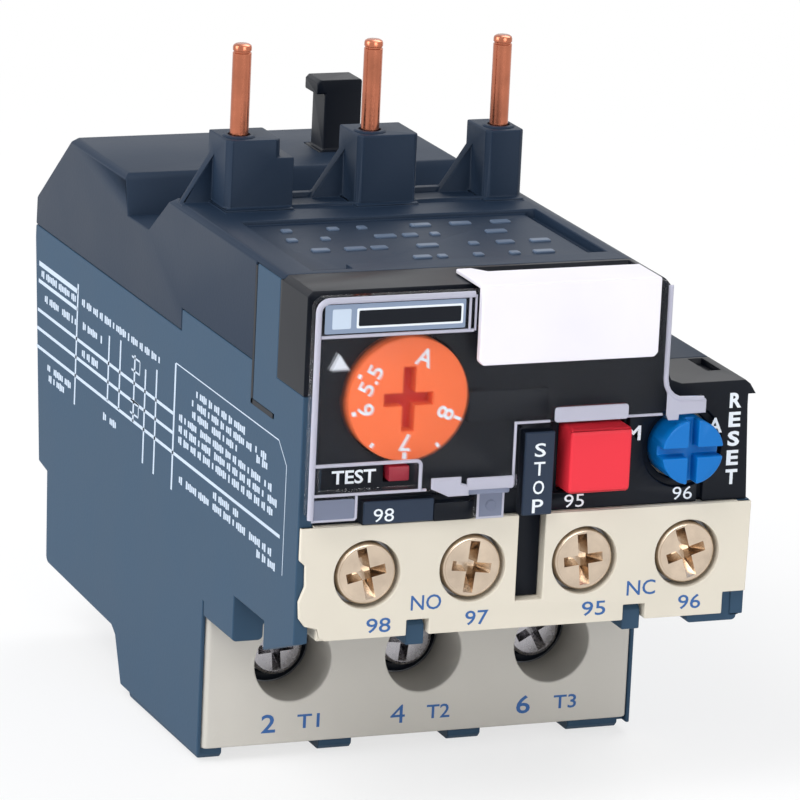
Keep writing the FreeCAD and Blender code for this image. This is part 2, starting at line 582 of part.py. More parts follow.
# ---- clear cover and marker plate ----
def clear_cover():
    """Hinged window with a test opening, a sealing eye, a lip, tabs and two hinge arms."""
    top = TOP - 0.1
    right = HEAD_WIDTH - 0.8
    low = STOP_Z + 4.0
    column = DIVIDER_X - 3.0
    foot = TEST_Z - 1.45
    outline = [
        (0, top), (right, top), (right, low + 2.0), (right + 0.5, low + 1.55), (right + 3.9, low + 1.55),
        (right + 3.9, low), (right + 1.2, low), (right + 1.2, low - 0.5), (right + 0.1, low - 0.5),
        (right - 0.3, low), (column, low), (column, foot), (column - 0.6, foot),
        (column - 0.6, AUX_TOP + 0.3), (column - 3.3, AUX_TOP + 0.3), (column - 3.3, foot),
        (TEST_X + 2.2, foot), (TEST_X + 2.2, foot + 0.1), (TEST_X - 4.7, foot + 0.1),
        (TEST_X - 4.7, AUX_TOP + 0.85), (0, AUX_TOP + 0.85),
    ]
    pane = front_prism(outline, COVER_FRONT, COVER_BACK)
    pane = bevelled(pane, 0.7, Y_AXIS, lambda p: p.x < 0.1 or (p.x > right - 0.1 and p.z > TOP - 1))
    eye = block(TEST_X + 2.2, column + 0.3, COVER_FRONT - 0.7, COVER_BACK, foot, foot + 1.35)
    eye = bevelled(eye, 0.5, Y_AXIS, lambda p: p.x < TEST_X + 3)
    lip = block(DIVIDER_X + 0.6, STOP_X + 2.2, COVER_FRONT - 0.6, COVER_BACK, low + 0.1, low + 1.5)
    arms = [
        block(HINGE_LEFT + 0.5, HINGE_LEFT + 3.5, COVER_FRONT, HINGE_Y, HINGE_Z, top),
        block(HINGE_RIGHT - 3.7, HINGE_RIGHT - 0.7, COVER_FRONT, HINGE_Y, HINGE_Z, top),
    ]
    pin = rod_x(HINGE_Y, HINGE_Z, HINGE_PIN, HINGE_LEFT - 0.8, HINGE_RIGHT + 0.8)
    cover = joined(pane, eye, lip, pin, *arms)
    cover = cover.cut(block(TEST_X + 4.1, TEST_X + 5.7, -5, 5, foot + 0.4, foot + 0.9))
    return cover.cut(block(1.3, TEST_X + 1.2, -5, 5, foot + 0.5, TEST_Z + 1.35))


def marker_plate():
    """Label plate on the cover, folded back over the top, deeper at its left end."""
    plate = block(PLATE_LEFT, PLATE_RIGHT, PLATE_FRONT, PLATE_FRONT + PLATE_THICK, PLATE_LOW, PLATE_TOP)
    plate = bevelled(plate, 0.4, Y_AXIS, lambda p: p.z < PLATE_LOW + 0.1)
    fold = [
        (PLATE_LEFT, PLATE_FRONT), (PLATE_RIGHT, PLATE_FRONT), (PLATE_RIGHT, PLATE_BACK - 1.4),
        (PLATE_LEFT + 2.6, PLATE_BACK - 1.4), (PLATE_LEFT + 1.5, PLATE_BACK), (PLATE_LEFT, PLATE_BACK),
    ]
    return joined(plate, plan_prism(fold, TOP + FIT, PLATE_TOP))


# ---- auxiliary terminal block ----
def aux_block():
    """Front block with four screw holes, wire mouths below and a divider slot."""
    base = AUX_BOTTOM
    outline = [
        (0.13, AUX_TOP - FIT), (0.13, base + 7.8), (0.7, base + 7.3), (0.75, base + 5.3),
        (0.2, base + 3.9), (0.3, base + 2.3), (0.9, base + 1.5), (2.1, base + 1.2), (2.3, base + 0.3),
        (2.9, base), (WIDTH - 2.4, base), (WIDTH - 2.4, base + 2.1), (WIDTH - 0.1, base + 2.1),
        (WIDTH, AUX_TOP - FIT),
    ]
    skin = front_prism(outline, 0, AUX_LIP)
    core = block(WALL + FIT, WIDTH - WALL - FIT, 0.2, AUX_BACK, base, AUX_TOP)
    core = core.cut(block(0, 2.1, -1, 3.0, 0, base + 1.2))
    core = core.cut(block(WIDTH - 2.4, WIDTH, -1, 3.0, 0, base + 2.1))
    body = joined(skin, core)
    half = AUX_CHAMBER / 2
    slot = AUX_ARM_WIDTH / 2 + FIT
    tab_back = AUX_TAB_Y + AUX_TAB_THICK + FIT
    for x in AUX_X:
        body = body.cut(rod_y(x, AUX_Z, AUX_HOLE, -1, AUX_CHAMBER_FRONT + 1))
        room = square_y(x, AUX_Z, half, AUX_CHAMBER_FRONT, tab_back)
        mouth = block(x - half + 1, x + half - 1, 3.6, AUX_TAB_Y - 0.1, base - 1, AUX_Z)
        arm = block(x - slot, x + slot, AUX_TAB_Y, AUX_BACK + 1, AUX_ARM_Z - FIT, AUX_ARM_Z + AUX_TAB_THICK + FIT)
        tip = square_y(x, AUX_Z, AUX_SHANK + LOOSE, AUX_TAB_Y, AUX_BACK - 0.8)
        body = body.cut(room.fuse([mouth, arm, tip]))
    body = body.cut(block(DIVIDER_X - DIVIDER / 2, DIVIDER_X + DIVIDER / 2, -1, 2.7, base + 2.65, AUX_TOP + 1))
    for x in aux_notches():
        body = body.cut(block(x - 1.1, x + 1.1, -1, 1.6, base - 1, base + 1.5))
    return body


def terminal_screw(x, z, head_radius, shank_radius, front, head, tip):
    """Round head on a round shank."""
    top = rod_y(x, z, head_radius, front, front + head)
    return joined(top, rod_y(x, z, shank_radius, front + head - 0.1, tip))


def aux_screw(x):
    """Screw of an auxiliary terminal."""
    tip = AUX_BACK - 0.8 - AUX_TRAVEL - REST
    return terminal_screw(x, AUX_Z, AUX_HEAD_RADIUS, AUX_SHANK, AUX_HEAD_FRONT, AUX_HEAD, tip)


def aux_clamp(x):
    """Square washer under an auxiliary screw."""
    half = AUX_CHAMBER / 2 - 0.15
    y0 = AUX_HEAD_FRONT + AUX_HEAD + FIT
    plate = square_y(x, AUX_Z, half, y0, y0 + 0.8)
    lip = block(x - half, x + half, y0, y0 + 1.4, AUX_Z + half - 0.7, AUX_Z + half)
    return joined(plate, lip).cut(square_y(x, AUX_Z, AUX_SHANK + FIT, 0, 10))


def aux_tab(x, fixed_contact, post_top):
    """Tab behind an auxiliary screw, with an arm to its contact or blade post."""
    half = AUX_CHAMBER / 2 - FIT
    y1 = AUX_TAB_Y + AUX_TAB_THICK
    plate = square_y(x, AUX_Z, half, AUX_TAB_Y, y1)
    plate = plate.cut(rod_y(x, AUX_Z, AUX_SHANK + FIT, 0, 20))
    arm_half = AUX_ARM_WIDTH / 2
    arm = block(x - arm_half, x + arm_half, y1 - 0.1, BLADE_Y + 2, AUX_ARM_Z, AUX_ARM_Z + AUX_TAB_THICK)
    if fixed_contact:
        post = block(x - CONTACT, x + CONTACT, BLADE_Y - CONTACT, BLADE_Y + CONTACT, AUX_ARM_Z + 0.4, post_top)
    else:
        half = BLADE_WIDTH / 2
        post = block(x - 0.3, x + 0.3, BLADE_Y - half, BLADE_Y + half, AUX_ARM_Z + 0.4, post_top)
    return joined(plate, arm, post)


# ---- power terminal block ----
def power_block():
    """Block with three deep driver wells, clamp rooms and wire mouths below."""
    edge = SIDE_LIP + FIT
    low = POWER_TOP - 1.6
    skin_outline = [
        (edge, POWER_BOTTOM), (edge, POWER_TOP), (WALL, POWER_TOP), (3.1, low),
        (WIDTH - 3.1, low), (WIDTH - WALL, POWER_TOP), (WIDTH - edge, POWER_TOP),
        (WIDTH - edge, POWER_BOTTOM),
    ]
    skin = front_prism(skin_outline, POWER_FRONT, POWER_FRONT + POWER_SKIN)
    skin = rounded(skin, 0.6, Z_AXIS, lambda p: p.y < POWER_FRONT + 0.1 and (p.x < 1 or p.x > WIDTH - 1))
    core = block(WALL + FIT, WIDTH - WALL - FIT, POWER_FRONT + 0.6, POWER_BACK, POWER_BOTTOM, POWER_TOP)
    body = joined(skin, core)
    half = POWER_CHAMBER / 2
    slot = BUS_WIDTH / 2 + FIT
    tab_back = POWER_TAB_Y + POWER_TAB_THICK + FIT
    for x in POLE_X:
        body = body.cut(rod_y(x, WELL_Z, WELL_RADIUS, POWER_FRONT - 1, WELL_BACK + 1))
        room = square_y(x, WELL_Z, half, WELL_BACK, tab_back)
        mouth = block(x - half + 0.8, x + half - 2, WELL_BACK + 1.7, POWER_TAB_Y - 0.1, BOTTOM, WELL_Z)
        run = block(x - slot, x + slot, POWER_TAB_Y, POWER_BACK + 1, BUS_Z - FIT, BUS_Z + POWER_TAB_THICK + FIT)
        tip = square_y(x, WELL_Z, POWER_SHANK + LOOSE, POWER_TAB_Y, POWER_BACK + 1)
        body = body.cut(room.fuse([mouth, run, tip]))
    return body


def power_screw(x):
    """Screw of a power terminal, deep in its well."""
    front = WELL_BACK - POWER_HEAD - 0.05
    tip = POWER_BACK - POWER_TRAVEL - REST + 0.1
    return terminal_screw(x, WELL_Z, POWER_HEAD_RADIUS, POWER_SHANK, front, POWER_HEAD, tip)


def power_clamp(x):
    """Saddle plate under a power screw, with a turned-in lip."""
    half = POWER_CHAMBER / 2 - 0.2
    y0 = WELL_BACK + FIT
    plate = square_y(x, WELL_Z, half, y0, y0 + CLAMP_THICK)
    lip = block(x - half, x + half, y0, y0 + CLAMP_THICK + 0.8, WELL_Z + half - 1, WELL_Z + half)
    return joined(plate, lip).cut(square_y(x, WELL_Z, POWER_SHANK + FIT, y0 - 1, y0 + 10))


def power_busbar(x):
    """Bar from the power terminal's tab back to the foot of the bimetal strip."""
    half = POWER_CHAMBER / 2 - FIT
    y1 = POWER_TAB_Y + POWER_TAB_THICK
    tab = square_y(x, WELL_Z, half, POWER_TAB_Y, y1)
    run = block(x - BUS_WIDTH / 2, x + BUS_WIDTH / 2, y1 - 0.2, STRIP_Y1 + 1.5, BUS_Z, BUS_Z + POWER_TAB_THICK)
    return joined(tab, run).cut(rod_y(x, WELL_Z, POWER_SHANK + FIT, POWER_TAB_Y - 1, POWER_BACK + 0.4))


# ---- poles ----
def conductor_pin(x):
    """Copper pin that stands on its heater lead, thicker where the socket holds it."""
    pin = rod_z(x, PIN_Y, PIN_RADIUS, SOCKET_TOP - 1, PIN_TOP)
    pin = pin.makeChamfer(PIN_TIP, [edge for edge in pin.Edges if edge.BoundBox.ZMin > PIN_TOP - 0.1])
    return joined(pin, rod_z(x, PIN_Y, PIN_ROOT_RADIUS, PIN_FOOT, SOCKET_TOP + FIT))


def heater_lead(pin_x, x):
    """Strip from a pin's foot over and down to the top of the heater winding."""
    back = STRIP_Y1 + 2.3
    half = LEAD_WIDTH / 2
    plan = [
        (pin_x - half, PIN_Y - half), (pin_x + half, PIN_Y - half), (x + half, back - 3),
        (x + half, back), (x - half, back), (x - half, back - 3),
    ]
    strip = plan_prism(plan, LEAD_Z, LEAD_Z + LEAD_THICK)
    leg = block(x - half, x + half, back - LEAD_THICK, back, LEAD_Z - 14, LEAD_Z + 0.5)
    return joined(strip, leg)


def bimetal(x):
    """Upright strip that bends as it warms."""
    foot = BUS_Z + POWER_TAB_THICK
    half = STRIP_THICK / 2
    strip = block(x - half, x + half, STRIP_Y0, STRIP_Y1, foot, STRIP_TOP)
    base = block(x - 1.6, x + half, STRIP_Y0, STRIP_Y1, foot, foot + 1.0)
    return joined(strip, base)


def heater(x):
    """Flat wire wound round a bimetal strip, seven turns."""
    turns = 7
    rise = 2.1
    start = BUS_Z + 4.2
    gap_x = STRIP_THICK / 2 + 0.25 + HEATER_WIRE / 2
    gap_y = (STRIP_Y1 - STRIP_Y0) / 2 + 0.25 + HEATER_WIRE / 2
    middle = (STRIP_Y0 + STRIP_Y1) / 2
    corners = [(-gap_x, -gap_y), (gap_x, -gap_y), (gap_x, gap_y), (-gap_x, gap_y)]
    path = []
    for step in range(4 * turns + 1):
        dx, dy = corners[step % 4]
        path.append(Vector(x + dx, middle + dy, start + rise * step / 4))
    return swept_wire(path, HEATER_WIRE)


def slotted_bar(z):
    """Flat bar across the three poles with one slot for each bimetal strip."""
    bar = block(4.0, WIDTH - 4.0, BAR_Y0, BAR_Y1, z, z + BAR_THICK)
    for x in POLE_X:
        x0 = x - STRIP_THICK / 2 - LOOSE
        x1 = x + STRIP_THICK / 2 + LOOSE + BAR_TRAVEL
        bar = bar.cut(block(x0, x1, STRIP_Y0 - LOOSE, STRIP_Y1 + 0.2, z - 1, z + 3))
    return bar


def trip_bar():
    """Upper slotted bar with a long arm forward to the compensating lever."""
    z0 = HIGH_BAR_Z
    z1 = HIGH_BAR_Z + 1.0
    y0 = WALL_BACK + 0.7
    right = COMP_X + 2.3
    arm = block(4.0, 6.5, y0 + 6.2, BAR_Y0 + 1, z0, z1)
    reach = block(4.0, right, y0 + 6.2, y0 + 7.8, z0, z1)
    finger = block(right - 0.7, right, y0, y0 + 7.0, z0, z1)
    tip = block(right - 0.7, right, y0, y0 + 2, z0 - 3.4, z1)
    nub = block(COMP_X + 0.7, right, y0, y0 + 2, z0 - 3.4, z0 - 2.6)
    return joined(slotted_bar(z0), arm, reach, finger, tip, nub)


def differential_bar():
    """Lower slotted bar that senses a lost phase."""
    return slotted_bar(LOW_BAR_Z)


def differential_lever():
    """Small lever that lies across both bars at their left end."""
    z0 = HIGH_BAR_Z + BAR_THICK + FIT
    front = BAR_Y0 + 0.4
    plan = [(4.6, front), (7.4, front), (7.4, front + 6), (5.6, front + 6), (4.6, front + 3.4)]
    return plan_prism(plan, z0, z0 + 1.0)


def comp_lever():
    """Compensating strip that hangs from its own pivot beside the dial cam."""
    y0 = WALL_BACK + 0.7
    strip = block(COMP_X - 0.4, COMP_X + 0.4, y0, y0 + 2, HIGH_BAR_Z - 3.6, COMP_Z + 1.2)
    lever = joined(strip, square_y(COMP_X, COMP_Z, 1.2, y0, y0 + 2))
    return lever.cut(rod_y(COMP_X, COMP_Z, COMP_PIN + FIT, y0 - 1, y0 + 3))


def comp_pivot():
    """Pin that carries the compensating lever on the cross wall."""
    return rod_y(COMP_X, COMP_Z, COMP_PIN, WALL_BACK - 0.8, WALL_BACK + 3.1)


def dial():
    """Setting dial with a cross slot in its face, and a shaft with a square end for the cam."""
    face = rod_y(DIAL_X, DIAL_Z, DIAL_RADIUS, DIAL_FRONT, DIAL_BACK)
    shaft = rod_y(DIAL_X, DIAL_Z, DIAL_SHAFT, DIAL_BACK - 0.1, CAM_FRONT - FIT)
    key = square_y(DIAL_X, DIAL_Z, DIAL_KEY, CAM_FRONT - 0.2, CAM_FRONT + 2.3)
    whole = joined(face, shaft, key)
    half = 0.67
    level = block(DIAL_X - 2.45, DIAL_X + 2.45, -2, DIAL_FRONT + 1.2, DIAL_Z - half, DIAL_Z + half)
    upright = block(DIAL_X - half, DIAL_X + half, -2, DIAL_FRONT + 1.2, DIAL_Z - 3.1, DIAL_Z + 3.1)
    return whole.cut(level.fuse(upright))


def dial_cam():
    """Spiral cam on the rear end of the dial's shaft."""
    steps = 20
    points = []
    for step in range(steps):
        angle = 2 * math.pi * step / steps
        radius = 2.9 + 0.9 * step / (steps - 1)
        points.append((DIAL_X + radius * math.cos(angle), DIAL_Z + radius * math.sin(angle)))
    cam = front_prism(points, CAM_FRONT, CAM_FRONT + 2)
    return cam.cut(square_y(DIAL_X, DIAL_Z, DIAL_KEY + FIT, CAM_FRONT - 1, CAM_FRONT + 3))


def stop_button():
    """Square button with a collar behind the panel and a square stem."""
    half = STOP_SIZE / 2
    cap = square_y(STOP_X, STOP_Z, half, STOP_FRONT, COLLAR_BACK)
    cap = bevelled(cap, 0.3, X_AXIS, lambda p: p.y < STOP_FRONT + 0.1)
    collar = square_y(STOP_X, STOP_Z, half + 0.5, PANEL_BACK + REST, COLLAR_BACK)
    return joined(cap, collar, square_y(STOP_X, STOP_Z, STEM, COLLAR_BACK - 0.2, WALL_BACK + 1.7))


def reset_plunger():
    """Round stem that carries the knob, with a collar behind the panel and a square guide."""
    collar = square_y(KNOB_X, KNOB_Z, KNOB_RADIUS + 0.7, PANEL_BACK + REST, COLLAR_BACK)
    guide = square_y(KNOB_X, KNOB_Z, KNOB_GUIDE, COLLAR_BACK - 0.2, WALL_BACK + 2.7)
    return joined(rod_y(KNOB_X, KNOB_Z, KNOB_STEM, 0.4, PANEL_BACK + REST + 0.1), collar, guide)


def reset_knob():
    """Round knob cut by a wide cross into four raised quadrants."""
    body = rod_y(KNOB_X, KNOB_Z, KNOB_RADIUS, KNOB_FRONT, PANEL_BACK + REST - FIT)
    body = body.cut(rod_y(KNOB_X, KNOB_Z, KNOB_STEM + FIT, 0.35, 5))
    floor = KNOB_FRONT + 1.4
    level = block(KNOB_X - 4, KNOB_X + 4, KNOB_FRONT - 1, floor, KNOB_Z - 0.45, KNOB_Z + 0.45)
    upright = block(KNOB_X - 0.45, KNOB_X + 0.45, KNOB_FRONT - 1, floor, KNOB_Z - 4, KNOB_Z + 4)
    return body.cut(level.fuse(upright))


def test_slider():
    """Small tab behind the cover's window with a collar and a stem."""
    tab = block(TEST_X - 1.0, TEST_X + 1.0, -0.1, 3.0, TEST_Z - 0.7, TEST_Z + 0.7)
    collar = block(TEST_X - 1.6, TEST_X + 1.6, PANEL_BACK + REST, 3.1, TEST_Z - 1.3, TEST_Z + 1.2)
    return joined(tab, collar, square_y(TEST_X, TEST_Z, TEST_STEM, 3.0, WALL_BACK + 0.4))


def trip_lever():
    """Rocker on the cross wall's pin, one finger over and one under the blades."""
    z0 = ROCKER_Z - 0.9
    z1 = ROCKER_Z + 0.5
    y0 = BLADE_Y - 1.2
    y1 = BLADE_Y + 1.2
    left_x = AUX_X[0] + 2.1
    right_x = AUX_X[3] - 3.3
    hub = square_y(ROCKER_X, ROCKER_Z, 1.7, BLADE_Y - 2.5, BLADE_Y + 3.6)
    left = block(left_x, ROCKER_X, y0, y1, z0, z1)
    left_finger = block(left_x, left_x + 1.2, y0, y1, NO_Z + 0.65, ROCKER_Z)
    right = block(ROCKER_X, right_x + 1.2, BLADE_Y + 2.2, BLADE_Y + 3.6, z0, z1)
    drop = block(right_x, right_x + 1.2, BLADE_Y + 2.2, BLADE_Y + 3.6, NC_Z - 1.35, ROCKER_Z)
    right_finger = block(right_x, right_x + 1.2, y0, BLADE_Y + 3, NC_Z - 1.35, NC_Z - 0.15)
    lever = joined(hub, left, left_finger, right, drop, right_finger)
    return lever.cut(rod_y(ROCKER_X, ROCKER_Z, ROCKER_PIN + FIT, WALL_BACK, BLADE_Y + 5))


def contact_blade(pivot_x, contact_x, z):
    """Thin moving blade with an eye at its post and a contact under its far end."""
    x0 = min(pivot_x - 0.6, contact_x - 1.4)
    x1 = max(pivot_x + 0.6, contact_x + 1.4)
    y0 = BLADE_Y - BLADE_WIDTH / 2
    y1 = BLADE_Y + BLADE_WIDTH / 2
    strip = block(x0, x1, y0, y1, z, z + 0.5)
    left = contact_x - CONTACT
    right = contact_x + CONTACT
    contact = block(left, right, BLADE_Y - CONTACT, BLADE_Y + CONTACT, z - 0.6, z + 0.2)
    return joined(strip, contact, square_y(pivot_x, z + 0.25, 0.5, y0, y1))


def hook_foot(room):
    """Foot of the hook, let into the roof of the rear block; room widens it into its seat."""
    x = PIN_X[1] + 6.35
    low = REAR_TOP - 1.6
    y0 = REAR - 21.0
    over = 1 if room > 0 else 0
    return block(x - 2.4 - room, x + 2.4 + room, y0 - room, y0 + 4.5 + room, low - over, REAR_TOP + over)


def mounting_hook():
    """Hook behind the pins that hangs in the contactor's frame."""
    x = PIN_X[1] + 6.35
    low = REAR_TOP - 1.6
    lip = HOOK_TOP - 1.45
    outline = [
        (x - 1.9, low), (x + 2.0, low), (x + 2.0, HOOK_TOP), (x - 2.4, HOOK_TOP),
        (x - 2.75, HOOK_TOP - 0.35), (x - 2.75, lip), (x - 1.9, lip),
    ]
    neck = front_prism(outline, REAR - 20.5, REAR - 17.0)
    return joined(neck, hook_foot(0))


# ---- writing ----
def save(node, shape):
    """Moves a piece to the part's own origin and writes it."""
    if not shape.isValid() or shape.Volume <= 0:
        raise RuntimeError("bad solid: " + node)
    placed = shape.copy()
    placed.translate(SHIFT)
    placed.exportStep("parts/" + node + ".step")


save("lower_housing", lower_housing())
save("upper_housing", upper_housing())
save("front_panel", front_panel())
save("clear_cover", clear_cover())
save("marker_plate", marker_plate())
save("aux_terminal_block", aux_block())
save("power_terminal_block", power_block())
save("current_dial", dial())
save("dial_cam", dial_cam())
save("stop_button", stop_button())
save("stop_spring", coil_y(STOP_X, STOP_Z, 2.2, 0.4, COLLAR_BACK + FIT, WALL_FRONT - FIT))
save("reset_plunger", reset_plunger())
save("reset_knob", reset_knob())
save("reset_spring", coil_y(KNOB_X, KNOB_Z, 2.4, 0.4, COLLAR_BACK + FIT, WALL_FRONT - FIT))
save("test_slider", test_slider())
save("test_spring", coil_y(TEST_X, TEST_Z, 1.3, 0.3, COLLAR_BACK - FIT, WALL_FRONT - FIT))
save("mounting_hook", mounting_hook())
FIXED_TOP = NC_Z - 0.6
for number, x, fixed, post in [
    ("98", AUX_X[0], True, FIXED_TOP), ("97", AUX_X[1], False, NO_Z - 0.35),
    ("95", AUX_X[2], False, NC_Z - 0.35), ("96", AUX_X[3], True, FIXED_TOP),
]:
    save("aux_screw_" + number, aux_screw(x))
    save("aux_clamp_" + number, aux_clamp(x))
    save("aux_tab_" + number, aux_tab(x, fixed, post))
for pole, (x, pin_x) in enumerate(zip(POLE_X, PIN_X), 1):
    save("power_screw_%d" % pole, power_screw(x))
    save("power_clamp_%d" % pole, power_clamp(x))
    save("power_busbar_%d" % pole, power_busbar(x))
    save("conductor_pin_%d" % pole, conductor_pin(pin_x))
    save("heater_lead_%d" % pole, heater_lead(pin_x, x))
    save("bimetal_%d" % pole, bimetal(x))
    save("heater_%d" % pole, heater(x))
save("trip_bar", trip_bar())
save("differential_bar", differential_bar())
save("differential_lever", differential_lever())
save("comp_lever", comp_lever())
save("comp_pivot", comp_pivot())
save("trip_lever", trip_lever())
save("nc_blade", contact_blade(AUX_X[2], AUX_X[3], NC_Z))
save("no_blade", contact_blade(AUX_X[1], AUX_X[0], NO_Z))
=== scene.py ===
"""Looks of the three-pole thermal overload relay: finishes, markings and small fittings."""

import math

import bmesh
import bpy
import numpy as np
from mathutils import Matrix, Vector
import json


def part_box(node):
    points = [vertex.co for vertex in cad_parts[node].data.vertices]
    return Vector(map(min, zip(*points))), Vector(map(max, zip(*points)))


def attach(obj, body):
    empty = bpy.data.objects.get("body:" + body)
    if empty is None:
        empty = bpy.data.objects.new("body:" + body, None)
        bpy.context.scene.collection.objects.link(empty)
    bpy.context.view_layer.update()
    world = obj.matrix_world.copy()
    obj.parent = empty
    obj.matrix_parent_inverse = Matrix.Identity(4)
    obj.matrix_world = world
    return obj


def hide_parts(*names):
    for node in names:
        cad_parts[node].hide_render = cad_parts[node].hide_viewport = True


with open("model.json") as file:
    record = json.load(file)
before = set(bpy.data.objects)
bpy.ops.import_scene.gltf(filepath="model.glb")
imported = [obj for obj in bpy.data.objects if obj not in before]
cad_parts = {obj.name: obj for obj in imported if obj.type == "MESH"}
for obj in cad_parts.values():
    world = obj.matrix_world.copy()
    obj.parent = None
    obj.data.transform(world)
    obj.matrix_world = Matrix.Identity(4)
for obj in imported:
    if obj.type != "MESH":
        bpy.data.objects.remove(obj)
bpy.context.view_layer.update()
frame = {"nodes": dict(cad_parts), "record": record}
nodes = frame["nodes"]

# Places are in millimetres: x from the left side, y inwards from the terminals' front plane, z from the feet.
MM = 0.001
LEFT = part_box("lower_housing")[0][0]
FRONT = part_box("aux_terminal_block")[0][1]
ORIGIN = np.array([LEFT, FRONT, 0.0])

# How far printed marks stand proud of their face.
INK_RISE = 0.012
# Corners sharper than this, in degrees, stay crisp on most pieces.
CRISP = 35
# No bevel runs to a point where an edge shorter than this starts.
SHORTEST_EDGE = 0.05
# Size of the pores in moulded plastic, in metres.
PORE = 0.00035
WHITE_LIGHT = (1.0, 1.0, 1.0, 1.0)


def corners(node):
    """Lowest and highest corner of a node's box, in the millimetres of this script."""
    low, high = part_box(node)
    return (np.array(low) - ORIGIN) / MM, (np.array(high) - ORIGIN) / MM


def linear(red, green, blue):
    """Colour of a paint chip, 0 to 255 per channel, as linear light."""
    chip = np.array([red, green, blue]) / 255.0
    low = chip / 12.92
    high = ((chip + 0.055) / 1.055) ** 2.4
    return (*np.where(chip <= 0.04045, low, high).tolist(), 1.0)


# ---- finishes ----
def new_finish(name):
    """New material: the material itself, its shader, and the coordinates of the object that wears it."""
    finish = bpy.data.materials.new(name)
    finish.use_nodes = True
    place = finish.node_tree.nodes.new("ShaderNodeTexCoord")
    return finish, finish.node_tree.nodes["Principled BSDF"], place


def cloud_of(finish, place, scale, detail=2.0):
    """Noise over the object's own coordinates, in a scale of so many cycles per metre."""
    cloud = finish.node_tree.nodes.new("ShaderNodeTexNoise")
    cloud.inputs["Scale"].default_value = scale
    cloud.inputs["Detail"].default_value = detail
    finish.node_tree.links.new(place.outputs["Object"], cloud.inputs["Vector"])
    return cloud


def tinted(finish, shader, cloud, chip, darker, lighter):
    """Base colour that wanders with a noise between two shares of one paint chip."""
    links = finish.node_tree.links
    tint = finish.node_tree.nodes.new("ShaderNodeMix")
    tint.data_type = "RGBA"
    tint.inputs[6].default_value = linear(*(np.array(chip) * darker))
    tint.inputs[7].default_value = linear(*np.minimum(np.array(chip) * lighter, 255))
    links.new(cloud.outputs["Fac"], tint.inputs[0])
    links.new(tint.outputs[2], shader.inputs["Base Color"])


def relief(finish, shader, cloud, strength, depth):
    """Fine bumps that follow a noise, their depth in metres."""
    links = finish.node_tree.links
    bump = finish.node_tree.nodes.new("ShaderNodeBump")
    bump.inputs["Strength"].default_value = strength
    bump.inputs["Distance"].default_value = depth
    links.new(cloud.outputs["Fac"], bump.inputs["Height"])
    links.new(bump.outputs["Normal"], shader.inputs["Normal"])


def wandering_gloss(finish, shader, cloud, smoothest, roughest):
    """Roughness that follows a noise between two values."""
    links = finish.node_tree.links
    spread = finish.node_tree.nodes.new("ShaderNodeMapRange")
    spread.inputs["To Min"].default_value = smoothest
    spread.inputs["To Max"].default_value = roughest
    links.new(cloud.outputs["Fac"], spread.inputs["Value"])
    links.new(spread.outputs["Result"], shader.inputs["Roughness"])


def moulded(name, chip, roughness, grain=0.25, gloss=0.45):
    """Moulded plastic: one colour with a faint cloud in it, a fine grain, and a slow change of gloss."""
    finish, shader, place = new_finish(name)
    shader.inputs["Specular IOR Level"].default_value = gloss
    cloud = cloud_of(finish, place, 90.0, 3.0)
    pores = cloud_of(finish, place, 1.0 / PORE)
    tinted(finish, shader, cloud, chip, 0.965, 1.035)
    relief(finish, shader, pores, grain, 0.00004)
    wandering_gloss(finish, shader, cloud, roughness - 0.05, roughness + 0.05)
    return finish


def metal(name, chip, roughness):
    """Bare or plated metal: fine marks, and a tone that wanders a little between bright and tarnished."""
    finish, shader, place = new_finish(name)
    shader.inputs["Metallic"].default_value = 1.0
    tarnish = cloud_of(finish, place, 420.0, 3.0)
    marks = cloud_of(finish, place, 2600.0, 3.0)
    tinted(finish, shader, tarnish, chip, 0.84, 1.12)
    relief(finish, shader, marks, 0.15, 0.00003)
    wandering_gloss(finish, shader, marks, roughness - 0.06, roughness + 0.08)
    return finish


def clear(name, chip, roughness, clarity, bend, body):
    """Clear moulding with faint flow marks in its gloss.

    Clarity is the share of light that it lets through and bends; body is how much of the surface is there."""
    finish, shader, place = new_finish(name)
    shader.inputs["Base Color"].default_value = linear(*chip)
    shader.inputs["Transmission Weight"].default_value = clarity
    shader.inputs["IOR"].default_value = bend
    shader.inputs["Alpha"].default_value = body
    flow = cloud_of(finish, place, 160.0)
    wandering_gloss(finish, shader, flow, max(roughness - 0.03, 0.0), roughness + 0.03)
    return finish


